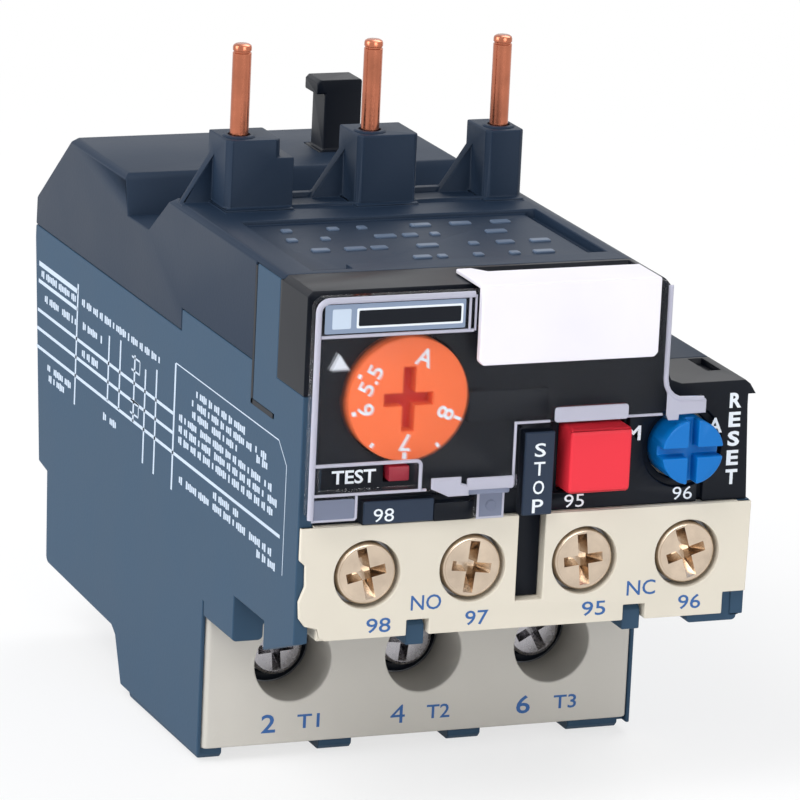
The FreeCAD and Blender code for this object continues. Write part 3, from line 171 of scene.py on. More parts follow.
FINISHES = {
    "lower_moulding": moulded("satin_blue_grey", (50, 74, 96), 0.52, gloss=0.14),
    "upper_moulding": moulded("satin_dark_blue_grey", (30, 44, 62), 0.5, gloss=0.14),
    "panel_black": moulded("fascia_near_black", (12, 17, 26), 0.42, grain=0.08, gloss=0.16),
    "terminal_cream": moulded("terminal_cream", (214, 207, 192), 0.55, grain=0.12, gloss=0.25),
    "clear_window": clear("window_clear", (236, 240, 248), 0.04, 1.0, 1.35, 0.3),
    "label_white": moulded("label_white", (233, 230, 238), 0.5, grain=0.04, gloss=0.2),
    "dial_orange": moulded("dial_orange", (252, 116, 66), 0.38, grain=0.05, gloss=0.2),
    "stop_red": moulded("stop_red", (226, 48, 62), 0.36, grain=0.05, gloss=0.25),
    "reset_blue": moulded("reset_blue", (0, 108, 186), 0.36, grain=0.05, gloss=0.25),
    "test_red": moulded("test_red", (150, 32, 50), 0.4, grain=0.1),
    "inner_plastic": moulded("inner_natural", (214, 208, 192), 0.5),
    "screw_brass": metal("screw_nickelled_brass", (206, 188, 168), 0.22),
    "screw_steel": metal("screw_dark_steel", (172, 170, 174), 0.26),
    "clamp_steel": metal("clamp_zinc", (170, 172, 178), 0.35),
    "contact_brass": metal("contact_brass", (208, 178, 112), 0.3),
    "pin_copper": metal("pin_copper", (184, 112, 86), 0.22),
    "bimetal_strip": metal("bimetal_strip", (164, 158, 150), 0.32),
    "heater_wire": metal("heater_ribbon", (144, 136, 130), 0.36),
    "spring_steel": metal("spring_wire", (178, 180, 186), 0.26),
}
RIM = clear("window_rim_frosted", (206, 206, 222), 0.35, 0.3, 1.4, 0.9)
FROST = clear("window_plate_frosted", (150, 158, 182), 0.4, 0.3, 1.3, 0.62)
BAND = moulded("band_silver_grey", (126, 142, 166), 0.4, grain=0.1)
WHITE_INK = moulded("ink_white", (226, 232, 238), 0.5, grain=0.05)
BLUE_INK = moulded("ink_blue", (56, 98, 156), 0.5, grain=0.05, gloss=0.2)
GREY_INK = moulded("ink_pale_grey", (190, 204, 220), 0.55, grain=0.05, gloss=0.2)
# Lighter blue-grey for the raised dashes on the roof: painted sheen on the same dark plastic.
LETTERING_PAINTED_SHEEN = moulded("roof_lettering_painted_sheen", (84, 100, 122), 0.4, grain=0.05, gloss=0.3)
SLATE = moulded("column_slate", (40, 52, 70), 0.45, grain=0.08, gloss=0.2)
POWER_GREY = moulded("terminal_grey", (198, 194, 186), 0.55, grain=0.12, gloss=0.25)
# Darker red for the floor of the dial's slot: painted shade, deeper than the orange around it.
DIAL_SLOT_PAINTED_SHADE = moulded("dial_slot_painted_shade_red", (196, 48, 34), 0.45, grain=0.04, gloss=0.2)

slot_of_node = {entry["node"]: entry["material_slot"] for entry in frame["record"]["subparts"]}
bodies = frame["record"]["behaviour"]["bodies"]
body_of_node = {name: body for body, names in bodies.items() for name in names}
for node, thing in nodes.items():
    for index in range(len(thing.material_slots)):
        thing.material_slots[index].material = FINISHES[slot_of_node[node]]


# ---- making of pieces ----
def placed(name, sheet, finish, body):
    """Object of a mesh in one finish, which rides a body."""
    sheet.materials.append(finish)
    piece = bpy.data.objects.new(name, sheet)
    bpy.context.scene.collection.objects.link(piece)
    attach(piece, body)
    return piece


def fitted(name, points, faces, body, finish, smooth=None):
    """Mesh piece from points in millimetres.

    With a smooth angle its faces are turned outwards, and corners sharper than the angle stay crisp.
    Without one it is flat print, and each face keeps the side that it was given."""
    sheet = bpy.data.meshes.new(name)
    sheet.from_pydata((np.asarray(points, float) * MM + ORIGIN).tolist(), [], faces)
    sheet.validate()
    if smooth is not None:
        shape = bmesh.new()
        shape.from_mesh(sheet)
        bmesh.ops.recalc_face_normals(shape, faces=shape.faces[:])
        shape.to_mesh(sheet)
        shape.free()
        sheet.shade_smooth()
        sheet.set_sharp_from_angle(angle=math.radians(smooth))
    return placed(name, sheet, finish, body)


def full_turn(steps):
    """Angles of one turn in equal steps."""
    return np.linspace(0, 2 * math.pi, steps, endpoint=False)


def on_circle(angle):
    """Points of the unit circle at an array of angles."""
    return np.stack([np.cos(angle), np.sin(angle)], axis=1)


def bands(rows, next_rows, around):
    """Four-sided faces between rows of points: each row starts at its number times the points in a row."""
    start = np.arange(around)
    after = np.roll(start, -1)
    row, next_row = rows[:, None] * around, next_rows[:, None] * around
    quads = np.stack([row + start, row + after, next_row + after, next_row + start], axis=-1)
    return quads.reshape(-1, 4).tolist()


def lofted(name, rings, body, finish, smooth=CRISP):
    """Closed skin over rings of equally many points: each ring joins the next, and both ends are capped."""
    rings = np.asarray(rings, float)
    count, around = rings.shape[:2]
    start = np.arange(around)
    faces = bands(np.arange(count - 1), np.arange(1, count), around)
    faces += [start[::-1].tolist(), (start + (count - 1) * around).tolist()]
    return fitted(name, rings.reshape(-1, 3), faces, body, finish, smooth)


def on_front(outline, depth):
    """Points of an outline in x and z, stood at a depth y."""
    outline = np.asarray(outline, float)
    return np.stack([outline[:, 0], np.full(len(outline), depth), outline[:, 1]], axis=1)


def on_top(outline, height):
    """Points of an outline in x and y, laid at a height z."""
    outline = np.asarray(outline, float)
    return np.stack([outline[:, 0], outline[:, 1], np.full(len(outline), height)], axis=1)


def on_left(outline, across):
    """Points of an outline in y and z, stood at a place x."""
    outline = np.asarray(outline, float)
    return np.stack([np.full(len(outline), across), outline[:, 0], outline[:, 1]], axis=1)


def left_hand(way):
    """Directions turned a quarter turn to the left."""
    return np.stack([-way[:, 1], way[:, 0]], axis=1)


def drawn_in(outline, distance):
    """Outline moved inwards: each corner slides along its mitre, by distance over the sine of half its angle.

    The slide is limited at very sharp corners."""
    outline = np.asarray(outline, float)
    ahead = np.roll(outline, -1, axis=0) - outline
    ahead /= np.linalg.norm(ahead, axis=1, keepdims=True)
    behind = np.roll(ahead, 1, axis=0)
    area = np.sum(outline[:, 0] * np.roll(outline[:, 1], -1) - np.roll(outline[:, 0], -1) * outline[:, 1])
    side = 1.0 if area > 0 else -1.0
    normal, normal_behind = side * left_hand(ahead), side * left_hand(behind)
    mitre = normal + normal_behind
    mitre /= np.maximum(1.0 + np.sum(normal * normal_behind, axis=1, keepdims=True), 0.2)
    return outline + mitre * distance


def cushioned(wide, tall, radius, steps=6):
    """Rounded rectangle: quarter circles of one radius round four corner points."""
    turn = np.linspace(0, math.pi / 2, steps)
    quarters = []
    for quarter, (sign_x, sign_z) in enumerate([(1, 1), (-1, 1), (-1, -1), (1, -1)]):
        middle = np.array([sign_x * (wide / 2 - radius), sign_z * (tall / 2 - radius)])
        quarters.append(middle + radius * on_circle(turn + quarter * math.pi / 2))
    return np.concatenate(quarters)


def slab(name, outline, stations, body, finish, stand=on_front, smooth=CRISP):
    """Outline carried along an axis; a station is a place on it and how far the outline is drawn in there."""
    rings = [stand(drawn_in(outline, inset), along) for along, inset in stations]
    return lofted(name, rings, body, finish, smooth)


def turned(name, middle, profile, body, finish, around, stand=on_front):
    """Body of revolution: for each pair of the profile, a circle of that radius at that place on the axis."""
    circle = on_circle(full_turn(around))
    rings = [stand(np.array(middle) + circle * radius, along) for radius, along in profile]
    return lofted(name, rings, body, finish)


def cross_reach(angle, wide, tall, half):
    """Distance from the middle to the edge of a plus sign: the longer of the reaches of its two bars."""
    cosine = np.maximum(np.abs(np.cos(angle)), 1e-9)
    sine = np.maximum(np.abs(np.sin(angle)), 1e-9)
    level = np.minimum(wide / cosine, half / sine)
    upright = np.minimum(half / cosine, tall / sine)
    return np.maximum(level, upright)


def crossed_disc(name, middle, rim, recess, cross, body, finish, turn=0.0):
    """Round head with a plus-shaped recess: circles along a rim's profile, then plus outlines into the head.

    A rim entry is a radius and a depth; a recess entry is a depth and the share of the plus sign's size.
    The cross gives the plus sign's half width, its half height and half the width of its bars."""
    wide, tall, half = cross
    breaks = []
    for reach_x, reach_z in [(wide, half), (half, tall), (half, half)]:
        first = math.atan2(reach_z, reach_x)
        breaks += [first, math.pi - first, math.pi + first, 2 * math.pi - first]
    angle = np.unique(np.concatenate([full_turn(72), breaks]))
    way = on_circle(angle + turn)
    rings = [on_front(middle + way * radius, depth) for radius, depth in rim]
    for depth, share in recess:
        reach = cross_reach(angle, wide * share, tall * share, half * (0.4 + 0.6 * share))
        rings.append(on_front(middle + way * reach[:, None], depth))
    return lofted(name, rings, body, finish, 30)


def bead(name, path, half, proud, face, body, finish, closed=False):
    """Rounded rib along a path on a face that looks to the front.

    At each point of the path half an ellipse stands square to it, with that half width and that height.
    A closed path makes a ring; an open one gets a cap at either end."""
    path = np.asarray(path, float)
    if closed:
        ahead = np.roll(path, -1, axis=0) - path
        behind = path - np.roll(path, 1, axis=0)
    else:
        ahead = np.diff(path, axis=0, append=path[-1:])
        behind = np.diff(path, axis=0, prepend=path[:1])
        ahead[-1], behind[0] = behind[-1], ahead[0]
    left = left_hand(ahead / np.linalg.norm(ahead, axis=1, keepdims=True))
    left_behind = left_hand(behind / np.linalg.norm(behind, axis=1, keepdims=True))
    mitre = (left + left_behind) / np.maximum(1.0 + np.sum(left * left_behind, axis=1, keepdims=True), 0.35)
    rows = [
        on_front(path + mitre * half * cosine, face - proud * sine)
        for cosine, sine in on_circle(np.linspace(0, math.pi, 7))
    ]
    rings = np.stack(rows, axis=1)
    if not closed:
        return lofted(name, rings, body, finish, 50)
    row = np.arange(len(path))
    faces = bands(row, np.roll(row, -1), len(rows))
    return fitted(name, rings.reshape(-1, 3), faces, body, finish, 50)


def weigh_edges(sheet, angle, shortest):
    """Bevel weight 1 on each edge that turns by more than an angle, where no edge below a length starts.

    The turn is the angle between the normals of the edge's two faces."""
    ends = np.zeros(len(sheet.edges) * 2, int)
    sheet.edges.foreach_get("vertices", ends)
    spots = np.zeros(len(sheet.vertices) * 3)
    sheet.vertices.foreach_get("co", spots)
    facing = np.zeros(len(sheet.polygons) * 3)
    sheet.polygons.foreach_get("normal", facing)
    sides = np.zeros(len(sheet.polygons), int)
    sheet.polygons.foreach_get("loop_total", sides)
    edge_of = np.zeros(len(sheet.loops), int)
    sheet.loops.foreach_get("edge_index", edge_of)
    ends, spots, facing = ends.reshape(-1, 2), spots.reshape(-1, 3), facing.reshape(-1, 3)
    length = np.linalg.norm(spots[ends[:, 0]] - spots[ends[:, 1]], axis=1)
    nearest = np.full(len(spots), np.inf)
    np.minimum.at(nearest, ends.ravel(), np.repeat(length, 2))
    order = np.argsort(edge_of, kind="stable")
    face_of = np.repeat(np.arange(len(facing)), sides)[order]
    each = np.arange(len(ends))
    one = face_of[np.searchsorted(edge_of[order], each, "left")]
    other = face_of[np.searchsorted(edge_of[order], each, "right") - 1]
    cosine = np.sum(facing[one] * facing[other], axis=1)
    weight = (cosine < math.cos(math.radians(angle))) & (nearest[ends].min(axis=1) > shortest)
    layer = sheet.attributes.new("bevel_weight_edge", "FLOAT", "EDGE")
    layer.data.foreach_set("value", weight.astype(float))


def softened(node, width, finish):
    """A node's own shape with its edges broken by a small bevel.

    Doubled points are merged, and flat faces are joined on the nodes where that closes no opening.
    Then each edge that turns by more than 40 degrees gets a bevel of the given width, in millimetres."""
    angle = 40
    sheet = nodes[node].data.copy()
    sheet.name = node + "_moulding"
    shape = bmesh.new()
    shape.from_mesh(sheet)
    bmesh.ops.remove_doubles(shape, verts=shape.verts[:], dist=2e-6)
    if node not in ("front_panel", "mounting_hook", "upper_housing"):
        flat = math.radians(1.0)
        bmesh.ops.dissolve_limit(shape, angle_limit=flat, verts=shape.verts[:], edges=shape.edges[:])
    shape.to_mesh(sheet)
    shape.free()
    weigh_edges(sheet, angle, SHORTEST_EDGE * MM)
    sheet.shade_smooth()
    sheet.set_sharp_from_angle(angle=math.radians(angle))
    sheet.materials.clear()
    piece = placed(node + "_moulding", sheet, finish, body_of_node[node])
    edge = piece.modifiers.new("broken_edge", "BEVEL")
    edge.width = width * MM
    edge.segments = 2
    edge.limit_method = "WEIGHT"
    edge.use_clamp_overlap = False
    edge.harden_normals = True
    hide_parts(node)


def words(name, text, wide, tall, x, z, face, body, ink, turn=0.0, bold=0.0):
    """Letters fitted to a width and a height, turned about their middle, a hair proud of a front face."""
    curve = bpy.data.curves.new(name, "FONT")
    curve.body = text
    curve.offset = bold
    curve.resolution_u = 3
    writer = bpy.data.objects.new(name + "_writer", curve)
    bpy.context.scene.collection.objects.link(writer)
    bpy.context.view_layer.update()
    flat = bpy.data.meshes.new_from_object(writer)
    bpy.data.objects.remove(writer)
    spots = np.zeros(len(flat.vertices) * 3)
    flat.vertices.foreach_get("co", spots)
    spots = spots.reshape(-1, 3)[:, :2]
    low, high = spots.min(axis=0), spots.max(axis=0)
    letters = (spots - (low + high) / 2) / (high - low) * np.array([wide, tall])
    cosine, sine = math.cos(turn), math.sin(turn)
    across = letters[:, 0] * cosine - letters[:, 1] * sine + x
    upright = letters[:, 0] * sine + letters[:, 1] * cosine + z
    points = on_front(np.stack([across, upright], axis=1), face - INK_RISE)
    faces = [list(polygon.vertices) for polygon in flat.polygons]
    bpy.data.meshes.remove(flat)
    sheet = bpy.data.meshes.new(name)
    sheet.from_pydata((points * MM + ORIGIN).tolist(), [], faces)
    placed(name, sheet, ink, body)


def printed_bars(name, bars, face, body, ink, stand=on_left):
    """Flat printed bars, a hair proud of a face: each runs from one point to another with its own width."""
    points, faces = [], []
    for x0, z0, x1, z1, width in bars:
        start, end = np.array([x0, z0], float), np.array([x1, z1], float)
        run = (end - start) / np.linalg.norm(end - start)
        side = np.array([-run[1], run[0]]) * width / 2
        corner = np.arange(4) + 4 * len(points)
        points.append(stand([start - side, end - side, end + side, start + side], face - INK_RISE))
        faces.append((corner[::-1] if stand is on_left else corner).tolist())
    fitted(name, np.concatenate(points), faces, body, ink)


# ---- mouldings with broken edges ----
for node, width in [
    ("lower_housing", 0.14), ("upper_housing", 0.16), ("front_panel", 0.1), ("aux_terminal_block", 0.12),
    ("power_terminal_block", 0.2), ("mounting_hook", 0.2), ("marker_plate", 0.14), ("clear_cover", 0.12),
    ("stop_button", 0.32), ("reset_knob", 0.16), ("test_slider", 0.12),
]:
    softened(node, width, POWER_GREY if node == "power_terminal_block" else FINISHES[slot_of_node[node]])


# ---- setting dial ----
DIAL_LOW, DIAL_HIGH = corners("current_dial")
DIAL = (DIAL_LOW[[0, 2]] + DIAL_HIGH[[0, 2]]) / 2
DIAL_FACE, DIAL_RADIUS = DIAL_LOW[1], (DIAL_HIGH[0] - DIAL_LOW[0]) / 2


def setting_dial():
    """Orange disc on its shaft: circles for shaft, rim and bevel, then a plus-shaped slot 1.2 mm deep, whose
    floor is a plate in darker red as painted shade.
    """
    back = DIAL_FACE + 2.0
    shaft_end = back + 13
    rim = [
        (1.6, DIAL_HIGH[1]), (1.6, shaft_end), (2.2, shaft_end), (2.2, back),
        (DIAL_RADIUS, back), (DIAL_RADIUS, DIAL_FACE + 0.22),
        (DIAL_RADIUS - 0.06, DIAL_FACE + 0.08), (DIAL_RADIUS - 0.2, DIAL_FACE),
    ]
    recess = [(DIAL_FACE, 1.0), (DIAL_FACE + 0.1, 0.97), (DIAL_FACE + 1.2, 0.94)]
    orange = FINISHES["dial_orange"]
    cross = (2.45, 3.1, 0.62)
    piece = crossed_disc("setting_dial_disc", DIAL, rim, recess, cross, "dial", orange)
    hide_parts("current_dial")
    angle = full_turn(72) + 0.01
    # Floor of the slot in darker red: painted shade at the bottom of the slot.
    slot_floor = DIAL + cross_reach(angle, 2.28, 2.88, 0.58)[:, None] * on_circle(angle)
    stations = [(DIAL_FACE + 1.19, 0), (DIAL_FACE + 1.1, 0)]
    slab("dial_slot_floor_painted_shade", slot_floor, stations, "dial", DIAL_SLOT_PAINTED_SHADE)


def dial_marks():
    """Digits about 4 mm from the middle, heads outwards, and ticks that run along the radius near the rim."""
    # label, angle in degrees, width, height, distance from the middle
    for label, degrees, wide, tall, reach in [
        ("5.5", 152.5, 2.75, 1.5, 4.25), ("6", 191, 1.1, 1.6, 4.25), ("7", 267, 1.15, 1.6, 4.05),
        ("8", 338, 1.15, 1.65, 3.95), ("A", 70, 1.6, 1.7, 4.1),
    ]:
        angle = math.radians(degrees)
        x, z = DIAL[0] + reach * math.cos(angle), DIAL[1] + reach * math.sin(angle)
        turn = angle - math.pi / 2
        name = "dial_mark_" + label.replace(".", "_")
        words(name, label, wide, tall, x, z, DIAL_FACE, "dial", WHITE_INK, turn, 0.012)
    ticks = []
    # angle in degrees, inner and outer distance from the middle, width
    for degrees, start, end, width in [
        (154, 5.25, 5.6, 0.4), (192, 5.2, 5.62, 0.4), (230.5, 5.15, 5.6, 0.32),
        (268, 5.0, 5.62, 0.4), (304, 5.15, 5.6, 0.32), (337.5, 4.9, 5.62, 0.3),
    ]:
        way = np.array([math.cos(math.radians(degrees)), math.sin(math.radians(degrees))])
        ticks.append((*(DIAL + way * start), *(DIAL + way * end), width))
    printed_bars("dial_ticks", ticks, DIAL_FACE, "dial", WHITE_INK, stand=on_front)


setting_dial()
dial_marks()


# ---- screws ----
def terminal_screw(node, turn, dish):
    """Screw head with a rounded rim, a dished face and a plus-shaped recess, on a shank that runs back.

    The head's radius is 0.12 mm below the node's; the shank, the dish and the recess are shares of it."""
    low, high = corners(node)
    middle = (low[[0, 2]] + high[[0, 2]]) / 2
    radius, face, tip = (high[0] - low[0]) / 2 - 0.12, low[1], high[1]
    shank, underside = radius * 0.55, face + 1.8
    rim = [
        (shank * 0.7, tip), (shank, tip - 0.5), (shank, underside), (radius, underside), (radius, face + 0.3),
        (radius - 0.06, face + 0.12), (radius - 0.16, face + 0.03), (radius - 0.26, face),
        (radius * 0.88, face + dish),
    ]
    recess = [(face + dish, 1.0), (face + dish + 0.3, 0.9), (face + 1.6, 0.45)]
    body, slot = body_of_node[node], slot_of_node[node]
    cross = (radius * 0.66, radius * 0.84, radius * 0.16)
    piece = crossed_disc(node + "_crossed", middle, rim, recess, cross, body, FINISHES[slot], turn)
    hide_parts(node)


# node, turn of the recess in radians, depth of the dish
for node, turn, dish in [
    ("aux_screw_98", 0.22, 0.06), ("aux_screw_97", -0.12, 0.06), ("aux_screw_95", 0.1, 0.06),
    ("aux_screw_96", 0.3, 0.06), ("power_screw_1", 0.08, 0.1), ("power_screw_2", -0.1, 0.1),
    ("power_screw_3", 0.5, 0.1),
]:
    terminal_screw(node, turn, dish)


# ---- painted shade in the wells of the power screws ----
def screw_well_painted_shade(number):
    """Black ring of painted shade in the driver well, behind the screw's head: a bead along a circle out to
    the well's wall.
    """
    low, high = corners("power_screw_" + number)
    circle = (low[[0, 2]] + high[[0, 2]]) / 2 + 3.36 * on_circle(full_turn(64))
    name, face, black = "screw_well_painted_shade_" + number, low[1] + 1.9, FINISHES["panel_black"]
    # The black ring stands for the shade deep in the well: painted shade.
    bead(name, circle, 0.49, 0.15, face, "housing", black, closed=True)


for number in "123":
    screw_well_painted_shade(number)


# ---- conductor pins and their collars ----
def conductor_pin(number):
    """Round copper pin with a groove near its top, and the raised collar that it stands in."""
    low, high = corners("conductor_pin_" + number)
    middle = (low[:2] + high[:2]) / 2
    top, seat = high[2], high[2] - 8.9
    pin = turned("conductor_pin_turned_" + number, middle, [
        (1.1, low[2]), (1.1, seat), (0.9, seat + 0.05), (0.9, top - 0.85), (0.82, top - 0.8),
        (0.82, top - 0.66), (0.9, top - 0.6), (0.9, top - 0.3), (0.84, top - 0.12), (0.65, top),
    ], "housing", FINISHES["pin_copper"], 48, on_top)
    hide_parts("conductor_pin_" + number)
    turned("socket_collar_" + number, middle, [
        (1.55, seat - 0.3), (1.55, seat + 0.05), (1.42, seat + 0.18), (1.1, seat + 0.2), (1.05, seat - 0.3),
    ], "housing", FINISHES["upper_moulding"], 48, on_top)


for number in "123":
    conductor_pin(number)


# ---- clear cover: frosted rims, lip, foot, sealing eye and name band ----
# Depth of the pane's front face, its right edge, and where its foot steps up beside the stop button.
PANE = -1.5
RIGHT = 35.1
COLUMN = 19.9
TEST_LOW, TEST_HIGH = corners("test_slider")
TEST_X, TEST_Z = (TEST_LOW[0] + TEST_HIGH[0]) / 2, TEST_HIGH[2] - 1.2
STOP_Z = (corners("stop_button")[0][2] + corners("stop_button")[1][2]) / 2
AUX_TOP = corners("aux_terminal_block")[1][2]
# Foot and head of the pane over the stop button, and the foot of the window for the test slider.
PANE_LOW = STOP_Z + 4.0
PANE_TOP = corners("clear_cover")[1][2]
WINDOW_FOOT = AUX_TOP + 3.2


def corner_arc(x, z, radius, start, end):
    """Six points of a circle's arc, from one angle in degrees to another."""
    return np.array([x, z]) + radius * on_circle(np.radians(np.linspace(start, end, 6)))


def cover_rim(name, path, half=0.3, proud=0.28):
    """Frosted bead along a path on the pane."""
    bead("cover_rim_" + name, path, half, proud, PANE, "cover", RIM)


def cover_rims():
    """Beads along the edges of the pane, the name band, the test window and the two tabs."""
    left = 0.36
    cover_rim("frame", np.concatenate([
        [[left, AUX_TOP + 1.2], [left, PANE_TOP - 1.4]],
        corner_arc(left + 1.0, PANE_TOP - 1.35, 1.0, 180, 90), [[15.4, PANE_TOP - 0.35]],
    ]))
    cover_rim("right", np.concatenate([
        [[RIGHT - 0.3, PANE_TOP - 0.4], [RIGHT - 0.3, PANE_LOW + 3.6]],
        corner_arc(RIGHT + 1.75, PANE_LOW + 3.5, 2.05, 180, 270)[:-1], [[RIGHT + 3.6, PANE_LOW + 1.45]],
    ]), 0.24)
    band_foot, band_head = PANE_TOP - 3.7, PANE_TOP - 0.4
    cover_rim("band", [[left + 0.3, band_foot], [15.4, band_foot]], 0.16, 0.2)
    cover_rim("band_end", [[15.0, band_foot + 0.1], [15.0, band_head]], 0.12, 0.2)
    cover_rim("band_end_2", [[15.55, band_foot], [15.55, band_head]], 0.1, 0.2)
    cover_rim("left_tab", [
        [left + 0.1, AUX_TOP + 1.05], [4.6, AUX_TOP + 1.05], [4.75, AUX_TOP + 1.2],
        [4.75, WINDOW_FOOT + 0.1],
    ], 0.13, 0.2)
    cover_rim("window", np.concatenate([
        [[left + 0.2, TEST_Z + 1.55], [TEST_X + 0.9, TEST_Z + 1.55]],
        corner_arc(TEST_X + 1.05, TEST_Z + 1.1, 0.45, 90, 0), [[TEST_X + 1.5, WINDOW_FOOT + 0.2]],
    ]), 0.17, 0.25)
    cover_rim("window_sill", [[left, WINDOW_FOOT + 0.2], [TEST_X + 2.1, WINDOW_FOOT + 0.2]], 0.14, 0.2)
    cover_rim("step", [
        [COLUMN + 0.15, WINDOW_FOOT + 0.2], [COLUMN + 0.15, PANE_LOW + 0.12], [23.4, PANE_LOW + 0.12],
    ], 0.13, 0.2)
    cover_rim("sill", [[31.1, PANE_LOW + 0.15], [RIGHT - 0.5, PANE_LOW + 0.15]], 0.13, 0.2)
    cover_rim("down_tab", [
        [COLUMN - 3.2, WINDOW_FOOT], [COLUMN - 3.2, AUX_TOP + 0.45], [COLUMN - 0.75, AUX_TOP + 0.45],
        [COLUMN - 0.75, WINDOW_FOOT],
    ], 0.12, 0.2)


def plate(name, outline, face=PANE, thick=0.22, soft=0.08, finish=RIM):
    """Frosted plate on the cover: an outline carried forwards, its front edge drawn in by the soft width."""
    stations = [(face - 0.02, 0), (face - thick + soft, 0), (face - thick, soft)]
    slab("cover_" + name, outline, stations, "cover", finish)


def block(wide, tall, radius, x, z, steps=6):
    """Rounded rectangle round a middle point."""
    return cushioned(wide, tall, radius, steps) + np.array([x, z])


def cover_tabs():
    """Plates on the pane: lip, foot beside the knob, left tab, sealing eye, and the tab beside the column."""
    plate("lip", block(7.3, 1.4, 0.3, 27.25, PANE_LOW + 0.85), PANE - 0.6, 0.25)
    foot = np.concatenate([
        [[RIGHT - 0.1, PANE_LOW + 3.2]], corner_arc(RIGHT + 1.75, PANE_LOW + 3.2, 1.75, 180, 265),
        [
            [RIGHT + 3.8, PANE_LOW + 1.45], [RIGHT + 3.88, PANE_LOW + 1.3], [RIGHT + 3.88, PANE_LOW + 0.1],
            [RIGHT + 1.2, PANE_LOW + 0.05], [RIGHT + 1.15, PANE_LOW - 0.45],
            [RIGHT + 0.15, PANE_LOW - 0.45], [RIGHT - 0.1, PANE_LOW + 0.05],
        ],
    ])
    plate("foot", foot[::-1], PANE, 0.16, 0.06)
    plate("left_tab", block(4.0, 1.9, 0.2, 2.6, AUX_TOP + 2.05), PANE, 0.12, 0.05, FROST)
    eye, eye_face = WINDOW_FOOT + 0.12, PANE - 0.7
    plate("eye_left", [
        (TEST_X + 2.3, eye + 1.35), (TEST_X + 5.2, eye + 1.35), (TEST_X + 5.2, eye + 0.75),
        (TEST_X + 6.0, eye + 0.5), (TEST_X + 6.0, eye - 0.45), (TEST_X + 4.0, eye - 0.45),
        (TEST_X + 2.3, eye + 0.35),
    ], eye_face, 0.3, 0.14)
    plate("eye_right", block(4.6, 1.15, 0.2, TEST_X + 8.1, eye + 0.6), eye_face, 0.25, 0.1)
    plate("eye_bar", block(4.2, 0.5, 0.15, TEST_X + 7.9, eye - 0.15), eye_face, 0.2, 0.08, FROST)
    plate("down_plate", block(2.3, 2.7, 0.2, COLUMN - 1.98, AUX_TOP + 1.8), PANE, 0.1, 0.04, FROST)
    peg = [(0.5, PANE - 0.1), (0.5, PANE - 0.18), (0.4, PANE - 0.25)]
    turned("cover_peg", (COLUMN - 1.95, AUX_TOP + 1.6), peg, "cover", FROST, 28)


def name_band():
    """Bare band under the pane's upper left edge: a silvery plate with an empty dark field in a pale frame.

    Each is a rounded rectangle that stands a little further out than what lies below it."""
    height = PANE_TOP - 2.05
    # name, width, height, middle, how far it stands out, finish, slot
    for name, wide, tall, x, rise, finish, slot in [
        ("ground", 13.6, 2.7, 7.75, 0.06, BAND, "clear_window"),
        ("frame", 10.3, 1.85, 9.15, 0.09, WHITE_INK, "label_white"),
        ("field", 9.9, 1.45, 9.15, 0.11, FINISHES["panel_black"], "panel_black"),
        ("patch", 1.8, 1.85, 2.55, 0.09, GREY_INK, "label_white"),
    ]:
        outline = block(wide, tall, 0.12, x, height, 3)
        slab("band_" + name, outline, [(PANE - 0.02, 0), (PANE - rise, 0)], "cover", finish)


cover_rims()
cover_tabs()
name_band()


# ---- fascia: slate caps, pointer and letters ----
# Depth of the faces that carry print: the panel, the column's cap and the bar's cap.
PANEL, COLUMN_FACE, BAR_FACE = 0.5, -0.8, -0.55
KNOB_Z = (corners("reset_knob")[0][2] + corners("reset_knob")[1][2]) / 2
column_foot, column_head = AUX_TOP + 0.1, STOP_Z + 2.9
slab(
    "stop_column_cap",
    block(2.95, column_head - column_foot, 0.12, 22.92, (column_head + column_foot) / 2, 3),
    [(-0.53, 0), (-0.7, 0), (COLUMN_FACE, 0.1)], "housing", SLATE, smooth=12,
)
slab(
    "bar_98_cap", block(6.9, 2.15, 0.15, 9.37, AUX_TOP + 1.2, 3),
    [(-0.38, 0), (-0.45, 0), (BAR_FACE, 0.1)], "housing", SLATE, smooth=12,
)
slab(
    "dial_pointer", [(3.2, DIAL[1] + 4.45), (2.35, DIAL[1] + 2.85), (4.3, DIAL[1] + 2.85)],
    [(PANEL - 0.005, 0), (PANEL - 0.02, 0)], "housing", WHITE_INK,
)


def white_words(name, text, wide, tall, x, z, face, bold):
    """Small white letters on the housing."""
    words(name, text, wide, tall, x, z, face, "housing", WHITE_INK, bold=bold)


# name, text, width, height, middle, face, boldness
for name, text, wide, tall, x, z, face, bold in [
    ("test", "TEST", 4.3, 1.3, 5.2, TEST_Z - 0.2, PANEL, 0.02),
    ("98", "98", 2.0, 1.25, 7.9, AUX_TOP + 0.95, BAR_FACE, 0.0),
    ("95", "95", 2.0, 1.25, 27.15, AUX_TOP + 0.87, PANEL, 0.0),
    ("96", "96", 2.0, 1.25, 38.05, AUX_TOP + 0.96, PANEL, 0.0),
    ("manual", "M", 1.5, 1.4, 32.75, KNOB_Z + 1.5, PANEL, 0.02),
    ("automatic", "A", 1.45, 1.45, 41.0, KNOB_Z + 1.8, PANEL, 0.02),
]:
    white_words("fascia_" + name, text, wide, tall, x, z, face, bold)
for index, letter in enumerate("STOP"):
    height = STOP_Z + 1.2 - 1.78 * index
    white_words("stop_letter_%d" % index, letter, 1.1, 1.3, 22.95, height, COLUMN_FACE, 0.01)
for index, letter in enumerate("RESET"):
    height = KNOB_Z + 4.1 - 1.84 * index
    white_words("reset_letter_%d" % index, letter, 1.2, 1.45, 42.95, height, PANEL, 0.035)


# ---- blue marks of the terminals ----
AUX_FACE = 0.0
POWER_FACE = corners("power_terminal_block")[0][1]
POWER_MARK_Z = 3.4
